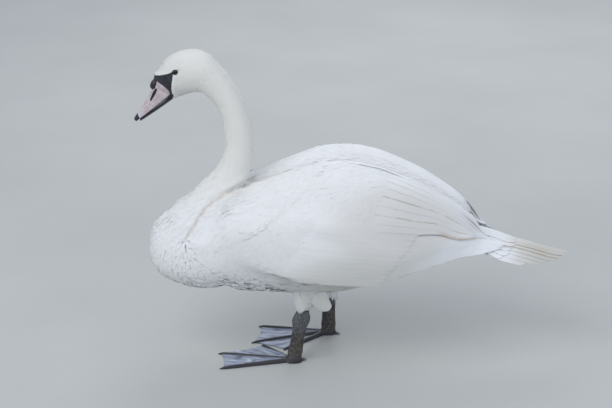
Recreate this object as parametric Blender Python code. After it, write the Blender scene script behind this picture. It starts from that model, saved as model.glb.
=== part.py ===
"""A young mute swan standing at rest, life size, with its neck in an S and its wings folded.

Frame: metres, +X towards the tail, +Y towards the bird's right side, +Z up, soles on z = 0.
Tables are in millimetres, measured on the bird; mm() turns them into metres.
"""

import math

import bmesh
import bpy
import numpy as np
from mathutils import Matrix, Vector

# Driving sizes, in millimetres.
GAP = 0.3
CUT_SIDES = 30
NECK_SIDES = 22
NECK_SQUARENESS = 2.1
HEAD_SIDES = 28
BILL_SIDES = 16
BILL_SQUARENESS = 2.4
EYE_RADIUS = 5.6
EYE_PLACE = (-357.0, 27.0, 611.0)
LID_RADIUS = 6.0
LID_WIRE = 1.3
LID_DEPTH = 2.2
LID_SQUEEZE = 0.85
LID_TURNS = 12
LID_WIRE_SIDES = 6

# Each rib: back or crown x, z; throat x, z; half width. From the face down to the breast.
NECK_RIBS = (
    (-395.5, 595.5, -366.5, 551.5, 17),
    (-388.5, 618.5, -360.5, 551.5, 23.5),
    (-374.5, 634.5, -350.5, 554.5, 28.5),
    (-352.5, 646.5, -336.5, 559.5, 32),
    (-324.5, 651.5, -322.5, 563.5, 33),
    (-294.5, 644.5, -309.5, 564.5, 31.5),
    (-273.5, 623.5, -297.5, 557.5, 29),
    (-253.5, 598.5, -288.5, 548.5, 27),
    (-237.5, 571.5, -278.5, 537.5, 26.5),
    (-223.5, 543.5, -270.5, 520.5, 26.5),
    (-214.5, 516.5, -263.5, 501.5, 27),
    (-206.5, 486.5, -261.5, 481.5, 27.5),
    (-205.5, 457.5, -259.5, 457.5, 28),
    (-206.5, 427.5, -262.5, 434.5, 29),
    (-211.5, 400.5, -272.5, 412.5, 30),
    (-222.5, 371.5, -286.5, 391.5, 33),
    (-249.5, 341.5, -303.5, 376.5, 38),
    (-280.5, 317.5, -326.5, 353.5, 48),
    (-307.5, 289.5, -351.5, 329.5, 66),
    (-325.5, 254.5, -377.5, 310.5, 84),
    (-337, 222, -394, 272, 82),
)
# Rib numbers at which the head and the lengths of the neck meet.
FACE_CUT_ENDS = 2.0
HEAD_ENDS = 6.0
NECK_UPPER_ENDS = 10.0
NECK_MIDDLE_ENDS = 14.0

# Each rib of the trunk: x, back z, belly z, half width, squareness of the section.
TORSO_RIBS = (
    (-419.5, 255, 212, 26, 2.0),
    (-411.5, 279, 194, 52, 2.1),
    (-390.5, 298, 174, 82, 2.2),
    (-354.5, 316, 165, 107, 2.3),
    (-314.5, 334, 160, 124, 2.4),
    (-268.5, 351, 157, 134, 2.4),
    (-208.5, 364, 152, 138, 2.3),
    (-137.5, 380, 147, 140, 2.2),
    (-67.5, 393, 147, 139, 2.2),
    (-7.5, 395, 151, 134, 2.2),
    (53.5, 384, 166, 123, 2.2),
    (113.5, 356, 190, 102, 2.2),
    (174.5, 318, 210, 77, 2.2),
    (224.5, 284, 224, 52, 2.1),
    (257.5, 262, 233, 32, 2.0),
)

# Each station of a folded wing: x, inner edge y z, ridge y z, side y z, lower edge y z, thickness.
WING_STATIONS = (
    (-269.5, 44, 350, 62, 352, 134, 305, 130, 267, 16),
    (-242.5, 30, 360, 48, 364, 145, 305, 142, 250, 20),
    (-212, 14, 371, 34, 375, 151, 304, 146, 234, 24),
    (-185, 8, 380, 33, 385, 155, 303, 148, 222, 26),
    (-150, 6, 391, 43, 402, 159, 301, 150, 209, 27),
    (-110, 6, 400, 46, 417, 162, 298, 150, 200, 28),
    (-68, 6, 409, 55, 433, 163, 295, 148, 195, 28),
    (-27, 6, 412, 61, 439, 162, 293, 144, 194, 28),
    (13, 6, 410, 62, 437, 157, 291, 138, 195, 26),
    (54, 6, 399, 64, 423.5, 149, 289, 130, 197, 24),
    (76, 6, 391, 64, 417, 143, 287, 125, 206, 23),
    (95, 6, 383, 63, 409.5, 137, 286, 120, 218, 22),
    (137, 6, 358, 54, 386, 119, 279, 104, 233, 20),
    (178, 6, 334, 49, 366, 101, 272, 88, 238, 17),
    (219, 6, 305, 39, 336, 82, 265, 72, 237, 15),
    (240, 6, 291, 32, 316.5, 72, 262, 62, 237, 12),
    (261, 7, 277, 26, 290, 60, 259, 52, 238, 10),
    (281, 8, 268, 21, 272, 46, 257, 44, 243, 8),
    (302, 10, 262, 18, 264, 34, 254, 32, 248, 5),
)

# A wing's core: how far it is sunk where it is bare and under the feathers, the place where it starts to
# sink, as x at the ridge and at the lower edge, where it ends along x and round the wing, and its steps.
CORE_SHALLOW = 0.8
CORE_DEEP = 4.0
CORE_SINKS_FROM = (-30.0, -215.0)
CORE_SINKS_OVER = 45.0
CORE_ENDS = 262.0
CORE_CAP = 0.5
CORE_CAP_LENGTH = 11.0
CORE_EDGE = 0.95
CORE_STEPS = 8
CORE_LEANS = 10.0
CORE_MOST_THICK = 0.85

# Each row of a wing's feathers, from its lowest to its highest: how many; first and last root, x and place
# round the wing; first and last tip; half width; lift over the surface; tilt that raises the lower edge.
WING_FEATHERS = (
    (6, (70, 0.92), (120, 0.72), (168, 0.955), (301, 0.72), 10, -1.0, 1.2),
    (8, (-125, 0.93), (-60, 0.62), (64, 0.94), (112, 0.76), 11, 0.3, 1.2),
    (4, (-190, 0.86), (-120, 0.58), (-48, 0.88), (20, 0.66), 15, 1.8, 1.2),
    (5, (20, 0.56), (60, 0.12), (206, 0.56), (268, 0.20), 15, 0.8, 1.2),
)
# Stations of a vane: place along it, share of its half width, thickness at the shaft.
VANE_STATIONS = ((0.0, 0.8, 3.0), (0.5, 1.0, 1.6), (0.86, 0.9, 1.3), (1.0, 0.25, 0.7))
VANE_EDGE = 0.6
VANE_THINS = 0.5
VANE_CROWN = 0.3

# Tail feathers from the outermost to the middle one: x and y of the tip. Their roots lie side by side.
TAIL_TIPS = ((355, 54), (383, 49), (404, 40), (420, 30), (433, 19.5), (441, 9.5), (444.5, 0))
TAIL_ROOT_X = 250.0
TAIL_ROOT_SPREAD = 30.0
TAIL_VANE_WIDTH = 12.5
TAIL_LAYER = 1.1
TAIL_OFFSET = 0.2
TAIL_MIDDLE_ASIDE = 0.8
TAIL_SIDES = 20
TAIL_STEPS = 13
TAIL_HALF_SPAN = 60.0
TAIL_CORE_ENDS = 320.0
TAIL_LIP_LENGTH = 12.0
TAIL_LIP_WIDTH = 0.6
TAIL_LIP_THICK = 1.6

# The bill, along its own length: culmen x, z; cutting edge x, z; half width.
BILL_RIBS = (
    (-395.5, 595.5, -363.5, 559, 16.6),
    (-403.5, 575.5, -376, 554.5, 16.0),
    (-409.5, 561.5, -388, 545.5, 15.0),
    (-418, 547, -401, 534.5, 14.2),
    (-428.5, 530.5, -415, 523, 14.0),
    (-438, 516.5, -429, 511.5, 13.2),
    (-444, 507.5, -438.5, 503.5, 9.0),
)
JAW_RIBS = (
    (-363.5, 558, -360.5, 550.5, 13.5),
    (-386, 541.7, -382.5, 536, 12.5),
    (-404, 528.6, -401, 523, 11.8),
    (-421, 516.3, -418.5, 511, 11.0),
    (-433, 507, -431.5, 503, 8.0),
)
MOUTH_GAP = 0.5
# The way up from the closed mouth's line, as x, z.
BILL_NORMAL = (-0.57, 0.82)
KNOB_PLACE = (-399.5, 0.0, 582.5)
KNOB_RADII = (7.5, 7.0, 12.5)
KNOB_TILT = 28.0
NOSTRIL_FROM = (-396.0, 575.0)
NOSTRIL_TO = (-407.5, 550.0)
NOSTRIL_RADIUS = 2.6
NOSTRIL_OUT = 14.0
NOSTRIL_SIDES = 8
# Place along the slot, share of its radius.
NOSTRIL_SECTIONS = ((0.0, 0.3), (0.2, 0.9), (0.5, 1.0), (0.8, 0.9), (1.0, 0.3))

# The closed tail seen from above: x, half width, z of its middle, thickness.
TAIL_STATIONS = (
    (225.0, 44.0, 272.0, 26.0),
    (262.0, 54.0, 264.0, 18.0),
    (300.0, 57.0, 254.5, 11.0),
    (335.0, 57.0, 245.5, 5.5),
    (361.0, 56.0, 238.5, 4.5),
    (382.0, 49.0, 232.5, 4.0),
    (405.0, 39.0, 225.5, 3.6),
    (425.0, 26.0, 220.0, 3.4),
    (438.0, 13.0, 217.5, 3.0),
    (444.5, 4.0, 216.5, 2.6),
)
TAIL_DROOP = 35.0

# Legs: top of the thigh, hock and middle of the foot, x, y, z; tips of the outer, middle and inner toe, x, y.
LEGS = {
    "left": {
        "thigh_top": (-88.0, -62.0, 202.0),
        "hock": (-106.5, -68.0, 102.0),
        "foot": (-121.5, -66.0, 14.0),
        "flap": ((-98.0, -70.0, 172.0), (-56.0, -69.0, 115.0)),
        "side": -1,
        "toes": ((-276.0, -105.0), (-282.0, -30.0), (-192.0, 12.0)),
    },
    "right": {
        "thigh_top": (-40.0, 62.0, 202.0),
        "hock": (-48.5, 74.0, 102.0),
        "foot": (-49.5, 76.0, 14.0),
        "flap": ((-50.0, 66.0, 172.0), (-22.0, 58.0, 104.0)),
        "side": 1,
        "toes": ((-201.0, 109.0), (-214.0, 23.0), (-145.0, -13.0)),
    },
}

# The thigh down from its top: place along it, radius along the body, radius across it.
THIGH_SECTIONS = ((0, 40, 30), (0.25, 34, 26), (0.5, 26, 20), (0.72, 18, 15), (0.86, 14, 12))
THIGH_ENDS = 0.86
THIGH_SIDES = 20
# The shank down from the middle of the hock: place along it, radius along the body, radius across it.
SHANK_SECTIONS = (
    (0.0, 16.5, 12.5),
    (0.12, 16.0, 12.0),
    (0.28, 12.5, 8.5),
    (0.55, 12.0, 7.5),
    (0.8, 12.8, 8.0),
    (1.0, 14.5, 10.0),
)
SHANK_TOP = (13.0, 10.5)
SHANK_SIDES = 16
# A toe: place along it, share of its radius. Its section: half width and height as shares of its radius.
TOE_SECTIONS = ((0, 1.0), (0.3, 0.92), (0.6, 0.8), (0.82, 0.72), (0.93, 0.6), (1.0, 0.25))
TOE_PROFILE = ((-1, 0.0), (-0.95, 0.9), (-0.45, 1.65), (0.45, 1.65), (0.95, 0.9), (1, 0.0))
TOE_RADIUS = 5.4
KNUCKLE_FORWARD = 6.0
HIND_TOE_RADIUS = 4.2
HIND_TOE_FROM = 6.0
HIND_TOE_TIP = (25.0, 7.0)
# The web's height over the floor, its thickness, how near it comes to the toes' tips, and its notches' depth.
WEB_LOW = 0.6
WEB_THICK = 1.8
WEB_REACH = 0.95
WEB_NOTCH = 5.0
# The pad under the shank: forward shift, height, radius along the body, radius across it.
PAD_SECTIONS = ((3.0, 0.0, 20.0, 13.5), (2.0, 6.0, 18.0, 12.5), (0.0, None, 14.5, 10.0))

# The feathers behind each thigh: place along them, half width, half thickness.
FLAP_SECTIONS = ((0.0, 16, 6.0), (0.35, 18, 5.0), (0.65, 17, 3.5), (0.87, 12.5, 2.2), (1.0, 5.5, 1.0))
FLAP_SIDES = 10
FLAP_SLANT = (0.76, 0.65)


def mm(*values):
    """Millimetres to a vector in metres."""
    return Vector(values) / 1000.0


def through(table, positions):
    """Rows of a table read at fractional row numbers, along a smooth curve through its rows."""
    rows = np.array(table, float)
    last = len(rows) - 1
    steps = np.linalg.norm(np.diff(rows[:, :4], axis=0), axis=1) ** 0.5
    knots = np.concatenate([[0.0], np.cumsum(steps)])
    slopes = np.gradient(rows, knots, axis=0)
    read = []
    for position in positions:
        i = min(int(position), last - 1)
        t = position - i
        width = knots[i + 1] - knots[i]
        a = 2 * t**3 - 3 * t**2 + 1
        b = t**3 - 2 * t**2 + t
        c = 3 * t**2 - 2 * t**3
        d = t**3 - t**2
        read.append(a * rows[i] + b * width * slopes[i] + c * rows[i + 1] + d * width * slopes[i + 1])
    return read


def power(value, exponent):
    return math.copysign(abs(value) ** exponent, value)


def rib_ring(top, bottom, half_width, square, sides, shift=(0.0, 0.0)):
    """A closed section across the midline from its top and bottom points, in metres."""
    centre = [(a + b) / 2 + s for a, b, s in zip(top, bottom, shift)]
    half = [(a - b) / 2 for a, b in zip(top, bottom)]
    ring = []
    for k in range(sides):
        angle = 2 * math.pi * k / sides
        up = power(math.cos(angle), 2 / square)
        out = power(math.sin(angle), 2 / square)
        ring.append(mm(centre[0] + half[0] * up, half_width * out, centre[1] + half[1] * up))
    return ring


def add_loft(bm, rings, crescent=False):
    """Skins a row of rings with quads, and closes each end with a fan on its middle.

    A crescent section doesn't hold its own middle, so its ends are closed with quads from edge to edge.
    """
    rows = [[bm.verts.new(point) for point in ring] for ring in rings]
    count = len(rows[0])
    for first, second in zip(rows, rows[1:]):
        for k in range(count):
            n = (k + 1) % count
            bm.faces.new((first[k], first[n], second[n], second[k]))
    for row in (rows[0], rows[-1]):
        if crescent:
            for k in range(count // 2 - 1):
                bm.faces.new((row[k], row[k + 1], row[count - 2 - k], row[count - 1 - k]))
            continue
        middle = bm.verts.new(sum((v.co for v in row), Vector()) / count)
        for k in range(count):
            bm.faces.new((row[k], row[(k + 1) % count], middle))


def colour_material(name, colour, roughness):
    material = bpy.data.materials.new(name)
    material.use_nodes = True
    shader = material.node_tree.nodes["Principled BSDF"]
    shader.inputs["Base Color"].default_value = (*colour, 1.0)
    shader.inputs["Roughness"].default_value = roughness
    shader.inputs["Metallic"].default_value = 0.0
    return material


def finish_object(name, bm, material, helper=False):
    """Turns the closed bmesh into a named object with its faces pointing out."""
    bmesh.ops.triangulate(bm, faces=bm.faces)
    bmesh.ops.recalc_face_normals(bm, faces=bm.faces)
    if bm.calc_volume(signed=True) < 0:
        bmesh.ops.reverse_faces(bm, faces=bm.faces)
    mesh = bpy.data.meshes.new(name)
    bm.to_mesh(mesh)
    bm.free()
    if material:
        mesh.materials.append(material)
    obj = bpy.data.objects.new(name, mesh)
    bpy.context.scene.collection.objects.link(obj)
    obj.hide_render = helper
    if helper:
        obj.display_type = "WIRE"
    return obj


def loft_object(name, rings, material, helper=False, crescent=False):
    bm = bmesh.new()
    add_loft(bm, rings, crescent)
    return finish_object(name, bm, material, helper)


def keep_largest(obj):
    """Keeps the mesh's largest connected surface, by the size of its box."""
    bm = bmesh.new()
    bm.from_mesh(obj.data)
    left = set(bm.verts)
    shells = []
    while left:
        front = [left.pop()]
        shell = set(front)
        while front:
            for edge in front.pop().link_edges:
                for vert in edge.verts:
                    if vert not in shell:
                        shell.add(vert)
                        left.discard(vert)
                        front.append(vert)
        shells.append(shell)
    spans = []
    for shell in shells:
        points = np.array([v.co for v in shell])
        spans.append(float(np.prod(points.max(0) - points.min(0) + 1e-6)))
    keep = shells[spans.index(max(spans))]
    bmesh.ops.delete(bm, geom=[v for v in bm.verts if v not in keep], context="VERTS")
    bm.to_mesh(obj.data)
    bm.free()


def boolean(obj, operation, others, solver="MANIFOLD"):
    """Joins or cuts obj with a set of closed helpers in one Boolean, and removes the helpers."""
    group = bpy.data.collections.new(obj.name + "_tools")
    for other in others:
        group.objects.link(other)
    modifier = obj.modifiers.new("tools", "BOOLEAN")
    modifier.operation = operation
    modifier.operand_type = "COLLECTION"
    modifier.collection = group
    modifier.solver = solver
    graph = bpy.context.evaluated_depsgraph_get()
    made = bpy.data.meshes.new_from_object(obj.evaluated_get(graph))
    obj.modifiers.remove(modifier)
    obj.data = made
    bpy.data.collections.remove(group)
    keep_largest(obj)


def remove(*objects):
    for obj in objects:
        bpy.data.objects.remove(obj)


def torso_rings(grow=0.0):
    """Sections of the trunk, swollen by grow millimetres."""
    count = 2 * (len(TORSO_RIBS) - 1) + 1
    read = through(TORSO_RIBS, np.linspace(0, len(TORSO_RIBS) - 1, count))
    rings = []
    for number, (x, top, bottom, width, square) in enumerate(read):
        if grow and number in (0, count - 1):
            x += math.copysign(grow, number - 1)
        rings.append(
            rib_ring((x, top + grow), (x, bottom - grow), width + grow, square, CUT_SIDES)
        )
    return rings


def neck_rings(start, end, step=0.5, sides=NECK_SIDES, start_gap=0.0, end_gap=0.0, grow=0.0):
    """Sections of the head and neck between two rib numbers, pulled in at the ends by the gaps.

    grow swells them all round, in millimetres.
    """
    count = max(2, round((end - start) / step) + 1)
    positions = np.linspace(start, end, count)
    read = through(NECK_RIBS, positions)
    rings = []
    for k, (tx, tz, bx, bz, width) in enumerate(read):
        shift = (0.0, 0.0)
        across = Vector((tx - bx, tz - bz)).normalized()
        tx += grow * across.x
        tz += grow * across.y
        bx -= grow * across.x
        bz -= grow * across.y
        if (k == 0 and start_gap) or (k == count - 1 and end_gap):
            along = Vector((-across.y, across.x))
            other = read[1] if k == 0 else read[-2]
            inward = Vector((other[0] + other[2] - tx - bx, other[1] + other[3] - tz - bz))
            gap = start_gap if k == 0 else end_gap
            shift = tuple(along * math.copysign(1.0, along.dot(inward)) * gap)
        rings.append(rib_ring((tx, tz), (bx, bz), width + grow, NECK_SQUARENESS, sides, shift))
    return rings


def quarter(start, end, fraction, bulge_first):
    """A point on a quarter ellipse from start to end: bulge_first leaves start along its first axis."""
    angle = fraction * math.pi / 2
    first = math.sin(angle)
    second = 1 - math.cos(angle)
    if not bulge_first:
        first, second = second, first
    return (start[0] + (end[0] - start[0]) * first, start[1] + (end[1] - start[1]) * second)


def wing_point(x, t):
    """A point of a folded wing's outer surface. t runs from its inner edge, 0, to its lower edge, 1."""
    table = np.array(WING_STATIONS)
    row = [np.interp(x, table[:, 0], column) for column in table.T]
    corners = [(row[k], row[k + 1]) for k in (1, 3, 5, 7)]
    t = min(max(t, 0.0), 1.0)
    arc = min(int(3 * t), 2)
    y, z = quarter(corners[arc], corners[arc + 1], 3 * t - arc, arc == 1)
    return np.array((x, y, z))


def wing_normal(x, t, step=0.01):
    """The way out of a folded wing's surface."""
    t = min(max(t, step), 1 - step)
    along = wing_point(min(x + 5, WING_STATIONS[-1][0]), t) - wing_point(max(x - 5, WING_STATIONS[0][0]), t)
    around = wing_point(x, t + step) - wing_point(x, t - step)
    normal = np.cross(along, around)
    return normal / np.linalg.norm(normal)


def core_depth(x, t):
    """How far a wing's core is sunk under its outer surface."""
    start = CORE_SINKS_FROM[0] + (CORE_SINKS_FROM[1] - CORE_SINKS_FROM[0]) * (1.5 * t - 0.5)
    share = min(1.0, max(0.0, (x - start) / CORE_SINKS_OVER))
    return CORE_SHALLOW + (CORE_DEEP - CORE_SHALLOW) * share


def wing_core_rings(side):
    """Closed sections of a wing's core: its outer surface, sunk under the feathers, and an inner one."""
    rings = []
    for row in WING_STATIONS:
        if row[0] > CORE_ENDS:
            break
        outer = []
        for k in range(CORE_STEPS + 1):
            t = CORE_EDGE * k / CORE_STEPS
            outer.append((wing_point(row[0], t) - core_depth(row[0], t) * wing_normal(row[0], t))[1:])
        core = ((row[1] + row[5]) / 2 - CORE_LEANS, (row[4] + row[8]) / 2)
        inner = []
        for y, z in reversed(outer):
            reach = math.hypot(core[0] - y, core[1] - z)
            share = min(CORE_MOST_THICK, row[9] / max(reach, 1e-6))
            inner.append((y + (core[0] - y) * share, z + (core[1] - z) * share))
        rings.append([mm(row[0], side * y, z) for y, z in outer + inner])
    middle = sum(rings[-1], Vector()) / len(rings[-1])
    rings.append([middle + (point - middle) * CORE_CAP + mm(CORE_CAP_LENGTH, 0, 0) for point in rings[-1]])
    return rings


def vane_object(name, stations):
    """A closed flat feather from its stations, each three points on its upper face and three on its lower.

    Both faces are split into triangles along the same diagonals, so that they never cross.
    """
    bm = bmesh.new()
    rows = [[bm.verts.new(mm(*point)) for point in (*upper, *lower)] for upper, lower in stations]
    for a, b in zip(rows, rows[1:]):
        for k in (0, 1, 3, 4):
            bm.faces.new((a[k], a[k + 1], b[k + 1]))
            bm.faces.new((a[k], b[k + 1], b[k]))
        for k, n in ((0, 3), (2, 5)):
            bm.faces.new((a[k], a[n], b[n]))
            bm.faces.new((a[k], b[n], b[k]))
    for row in (rows[0], rows[-1]):
        for k in (0, 1):
            bm.faces.new((row[k], row[k + 1], row[k + 4], row[k + 3]))
    return finish_object(name, bm, None, True)


def wing_vane(side, root, tip, half_width, lift, tilt):
    """One feather that lies on the wing from root to tip, both x, t.

    lift raises it over the surface, and tilt raises its lower edge.
    """
    stations = []
    for u, share, depth in VANE_STATIONS:
        x = root[0] + (tip[0] - root[0]) * u
        t = root[1] + (tip[1] - root[1]) * u ** 1.2
        around = np.linalg.norm(wing_point(x, t + 0.01) - wing_point(x, t - 0.01)) / 0.02
        reach = half_width * share / max(around, 40.0)
        upper, lower = [], []
        for across in (-1, 0, 1):
            at = min(max(t + across * reach, 0.0), 1.0)
            normal = wing_normal(x, at)
            rise = (lift + tilt * across + (VANE_CROWN if across == 0 else 0)) * min(1.0, 0.3 + u)
            thick = depth if across == 0 else max(VANE_EDGE, depth - VANE_THINS)
            point = wing_point(x, at)
            for row, height in ((upper, rise), (lower, rise - thick)):
                y, z = (point + height * normal)[1:]
                row.append((x, side * y, z))
        stations.append((upper, lower))
    return vane_object("wing_vane", stations)


def wing_object(side_name, material):
    """A folded wing: a core, and its feathers in tiers, each row laid over the one below and behind it."""
    side = LEGS[side_name]["side"]
    wing = loft_object("wing_" + side_name, wing_core_rings(side), material)
    vanes = []
    for count, root_a, root_b, tip_a, tip_b, half_width, lift, tilt in WING_FEATHERS:
        for k in range(count):
            s = k / (count - 1)
            root = [a + (b - a) * s for a, b in zip(root_a, root_b)]
            tip = [a + (b - a) * s for a, b in zip(tip_a, tip_b)]
            vanes.append(wing_vane(side, root, tip, half_width, lift, tilt))
    boolean(wing, "UNION", vanes)
    remove(*vanes)
    return wing


def tail_droop(across):
    """How far the fan hangs lower at a distance from its middle."""
    return TAIL_DROOP * (across / TAIL_HALF_SPAN) ** 2


def tail_ring(x, width, z, thick, grow=0.0):
    """One section of the fan, swollen by grow millimetres."""
    ring = []
    for n in range(TAIL_SIDES):
        angle = 2 * math.pi * (n + 0.5) / TAIL_SIDES
        across = math.cos(angle) * (width + 3 * grow)
        ring.append(mm(x, across, z - tail_droop(across) + math.sin(angle) * (thick / 2 + grow)))
    return ring


def tail_sections():
    return through(TAIL_STATIONS, np.linspace(0, len(TAIL_STATIONS) - 1, TAIL_STEPS))


def tail_core_rings():
    """Sections of the tail's core, which ends in a thin lip inside its feathers."""
    rows = [row for row in tail_sections() if row[0] < TAIL_CORE_ENDS]
    table = np.array(TAIL_STATIONS)
    x = rows[-1][0] + TAIL_LIP_LENGTH
    z = np.interp(x, table[:, 0], table[:, 2])
    rows.append((x, rows[-1][1] * TAIL_LIP_WIDTH, z, TAIL_LIP_THICK))
    return [tail_ring(*row) for row in rows]


def tail_vane(root, tip, lift):
    """One tail feather from root to tip, both x, y, raised by lift over the fan's middle surface."""
    table = np.array(TAIL_STATIONS)
    heading = np.array((tip[0] - root[0], tip[1] - root[1]))
    heading /= np.linalg.norm(heading)
    stations = []
    for u, share, depth in VANE_STATIONS:
        upper, lower = [], []
        for across in (-1, 0, 1):
            reach = across * TAIL_VANE_WIDTH * share
            x = root[0] + (tip[0] - root[0]) * u - heading[1] * reach
            y = root[1] + (tip[1] - root[1]) * u + heading[0] * reach
            middle = np.interp(x, table[:, 0], table[:, 2])
            top = middle - tail_droop(y) + lift + (VANE_CROWN if across == 0 else 0)
            thick = depth if across == 0 else max(VANE_EDGE, depth - VANE_THINS)
            upper.append((x, y, top))
            lower.append((x, y, top - thick))
        stations.append((upper, lower))
    return vane_object("tail_vane", stations)


def tail_object(material):
    """The tail: a core in the rump, and its feathers in a fan, the middle one uppermost."""
    tail = loft_object("tail", tail_core_rings(), material, crescent=True)
    vanes = []
    middle = len(TAIL_TIPS) - 1
    for number, (x, y) in enumerate(TAIL_TIPS):
        root_y = TAIL_ROOT_SPREAD * (middle - number) / middle
        lift = TAIL_LAYER * (number - middle / 2)
        if number == middle:
            vanes.append(tail_vane((TAIL_ROOT_X, TAIL_MIDDLE_ASIDE), (x, y + TAIL_MIDDLE_ASIDE), lift))
            continue
        for side in (-1, 1):
            vanes.append(tail_vane((TAIL_ROOT_X, side * root_y), (x, side * y), lift + TAIL_OFFSET * side))
    boolean(tail, "UNION", vanes)
    remove(*vanes)
    return tail


def tube_rings(path, radii, sides):
    """Round sections of given radii (along, across) about the points of a path, in horizontal planes."""
    rings = []
    for (x, y, z), (deep, wide) in zip(path, radii):
        ring = []
        for k in range(sides):
            angle = 2 * math.pi * k / sides
            ring.append(mm(x + deep * math.cos(angle), y + wide * math.sin(angle), z))
        rings.append(ring)
    return rings


def thigh_object(side_name, material):
    """The feathered thigh, with the loose feathers that hang behind it."""
    leg = LEGS[side_name]
    top, hock = leg["thigh_top"], leg["hock"]
    path, radii = [], []
    for t, deep, wide in THIGH_SECTIONS:
        path.append([a + (b - a) * t for a, b in zip(top, hock)])
        radii.append((deep, wide))
    obj = loft_object("thigh_" + side_name, tube_rings(path, radii, THIGH_SIDES), material)
    rings = []
    for t, half_wide, half_thick in FLAP_SECTIONS:
        centre = [a + (b - a) * t for a, b in zip(*leg["flap"])]
        ring = []
        for k in range(FLAP_SIDES):
            angle = 2 * math.pi * k / FLAP_SIDES
            along = half_wide * math.cos(angle)
            out = half_thick * math.sin(angle)
            x = centre[0] + FLAP_SLANT[0] * along
            ring.append(mm(x, centre[1] + out, centre[2] + FLAP_SLANT[1] * along))
        rings.append(ring)
    flap = loft_object("flap", rings, None, True)
    boolean(obj, "UNION", [flap])
    remove(flap)
    return obj


def shank_object(side_name, material):
    """Hock joint and the bare shank down to the toes."""
    leg = LEGS[side_name]
    top, hock, foot = leg["thigh_top"], leg["hock"], leg["foot"]
    start = [a + (b - a) * THIGH_ENDS for a, b in zip(top, hock)]
    start[2] -= GAP
    path = [start]
    radii = [SHANK_TOP]
    for t, deep, wide in SHANK_SECTIONS:
        path.append([a + (b - a) * t for a, b in zip(hock, foot)])
        radii.append((deep, wide))
    return loft_object("shank_" + side_name, tube_rings(path, radii, SHANK_SIDES), material)


def toe_rings(root, tip, radius):
    """A toe lying flat on the floor, with flat underside, tapering to its claw."""
    along = Vector((tip[0] - root[0], tip[1] - root[1], 0))
    across = Vector((-along.y, along.x, 0)).normalized()
    rings = []
    for t, share in TOE_SECTIONS:
        centre = Vector((root[0], root[1], 0)) + along * t
        r = radius * share
        ring = []
        for y, z in TOE_PROFILE:
            point = centre + across * r * y
            ring.append(mm(point.x, point.y, r * z))
        rings.append(ring)
    return rings


def foot_object(side_name, material):
    """Three webbed toes and a hind toe on the floor, and the pad that carries the shank."""
    leg = LEGS[side_name]
    fx, fy, fz = leg["foot"]
    side = leg["side"]
    knuckle = (fx - KNUCKLE_FORWARD, fy)
    pieces = []
    for number, tip in enumerate(leg["toes"]):
        pieces.append(loft_object("toe%d" % number, toe_rings(knuckle, tip, TOE_RADIUS), None, True))
    hind_tip = (fx + HIND_TOE_TIP[0], fy - HIND_TOE_TIP[1] * side)
    hind = toe_rings((fx + HIND_TOE_FROM, fy), hind_tip, HIND_TOE_RADIUS)
    pieces.append(loft_object("hind", hind, None, True))
    tips = [tuple(a + WEB_REACH * (b - a) for a, b in zip(knuckle, tip)) for tip in leg["toes"]]
    outline = [(knuckle[0] + WEB_NOTCH, knuckle[1])]
    for a, b in zip(tips, tips[1:]):
        outline += [a, ((a[0] + b[0]) / 2 + WEB_NOTCH, (a[1] + b[1]) / 2)]
    outline.append(tips[-1])
    bm = bmesh.new()
    web = bm.faces.new([bm.verts.new(mm(x, y, WEB_LOW)) for x, y in outline])
    lifted = bmesh.ops.extrude_face_region(bm, geom=[web])["geom"]
    top_verts = [g for g in lifted if isinstance(g, bmesh.types.BMVert)]
    bmesh.ops.translate(bm, verts=top_verts, vec=mm(0, 0, WEB_THICK))
    pieces.append(finish_object("web", bm, None, True))
    path = [(fx - shift, fy, fz - GAP if height is None else height) for shift, height, _, _ in PAD_SECTIONS]
    pad = tube_rings(path, [section[2:] for section in PAD_SECTIONS], SHANK_SIDES)
    obj = loft_object("foot_" + side_name, pad, material)
    boolean(obj, "UNION", pieces)
    remove(*pieces)
    return obj


def eye_object(side_name, material, grow=0.0, helper=False):
    x, y, z = EYE_PLACE
    side = LEGS[side_name]["side"]
    bm = bmesh.new()
    place = Matrix.Translation(mm(x, side * y, z))
    bmesh.ops.create_icosphere(bm, subdivisions=2, radius=(EYE_RADIUS + grow) / 1000, matrix=place)
    return finish_object("eye_" + side_name + ("_cut" if helper else ""), bm, material, helper)


def lid_object(side):
    """The rim of one eye's lids, a ring round the eyeball that faces a little forwards."""
    x, y, z = EYE_PLACE
    bm = bmesh.new()
    rows = []
    for k in range(LID_TURNS):
        around = 2 * math.pi * k / LID_TURNS
        row = []
        for n in range(LID_WIRE_SIDES):
            angle = 2 * math.pi * n / LID_WIRE_SIDES
            reach = LID_RADIUS + LID_WIRE * math.cos(angle)
            depth = LID_DEPTH + LID_WIRE * math.sin(angle)
            rise = reach * LID_SQUEEZE * math.sin(around)
            row.append(bm.verts.new(mm(x + reach * math.cos(around), side * (y + depth), z + rise)))
        rows.append(row)
    for k in range(LID_TURNS):
        for n in range(LID_WIRE_SIDES):
            m = (n + 1) % LID_WIRE_SIDES
            after = rows[(k + 1) % LID_TURNS]
            bm.faces.new((rows[k][n], after[n], after[m], rows[k][m]))
    return finish_object("lids", bm, None, True)


def bill_rings(ribs, lift=0.0):
    """Sections of one half of the bill. lift moves it away from the other half, in millimetres."""
    shift = (lift * BILL_NORMAL[0], lift * BILL_NORMAL[1])
    rings = []
    for tx, tz, bx, bz, width in through(ribs, np.linspace(0, len(ribs) - 1, 2 * len(ribs) - 1)):
        rings.append(rib_ring((tx, tz), (bx, bz), width, BILL_SQUARENESS, BILL_SIDES, shift))
    return rings


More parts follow.
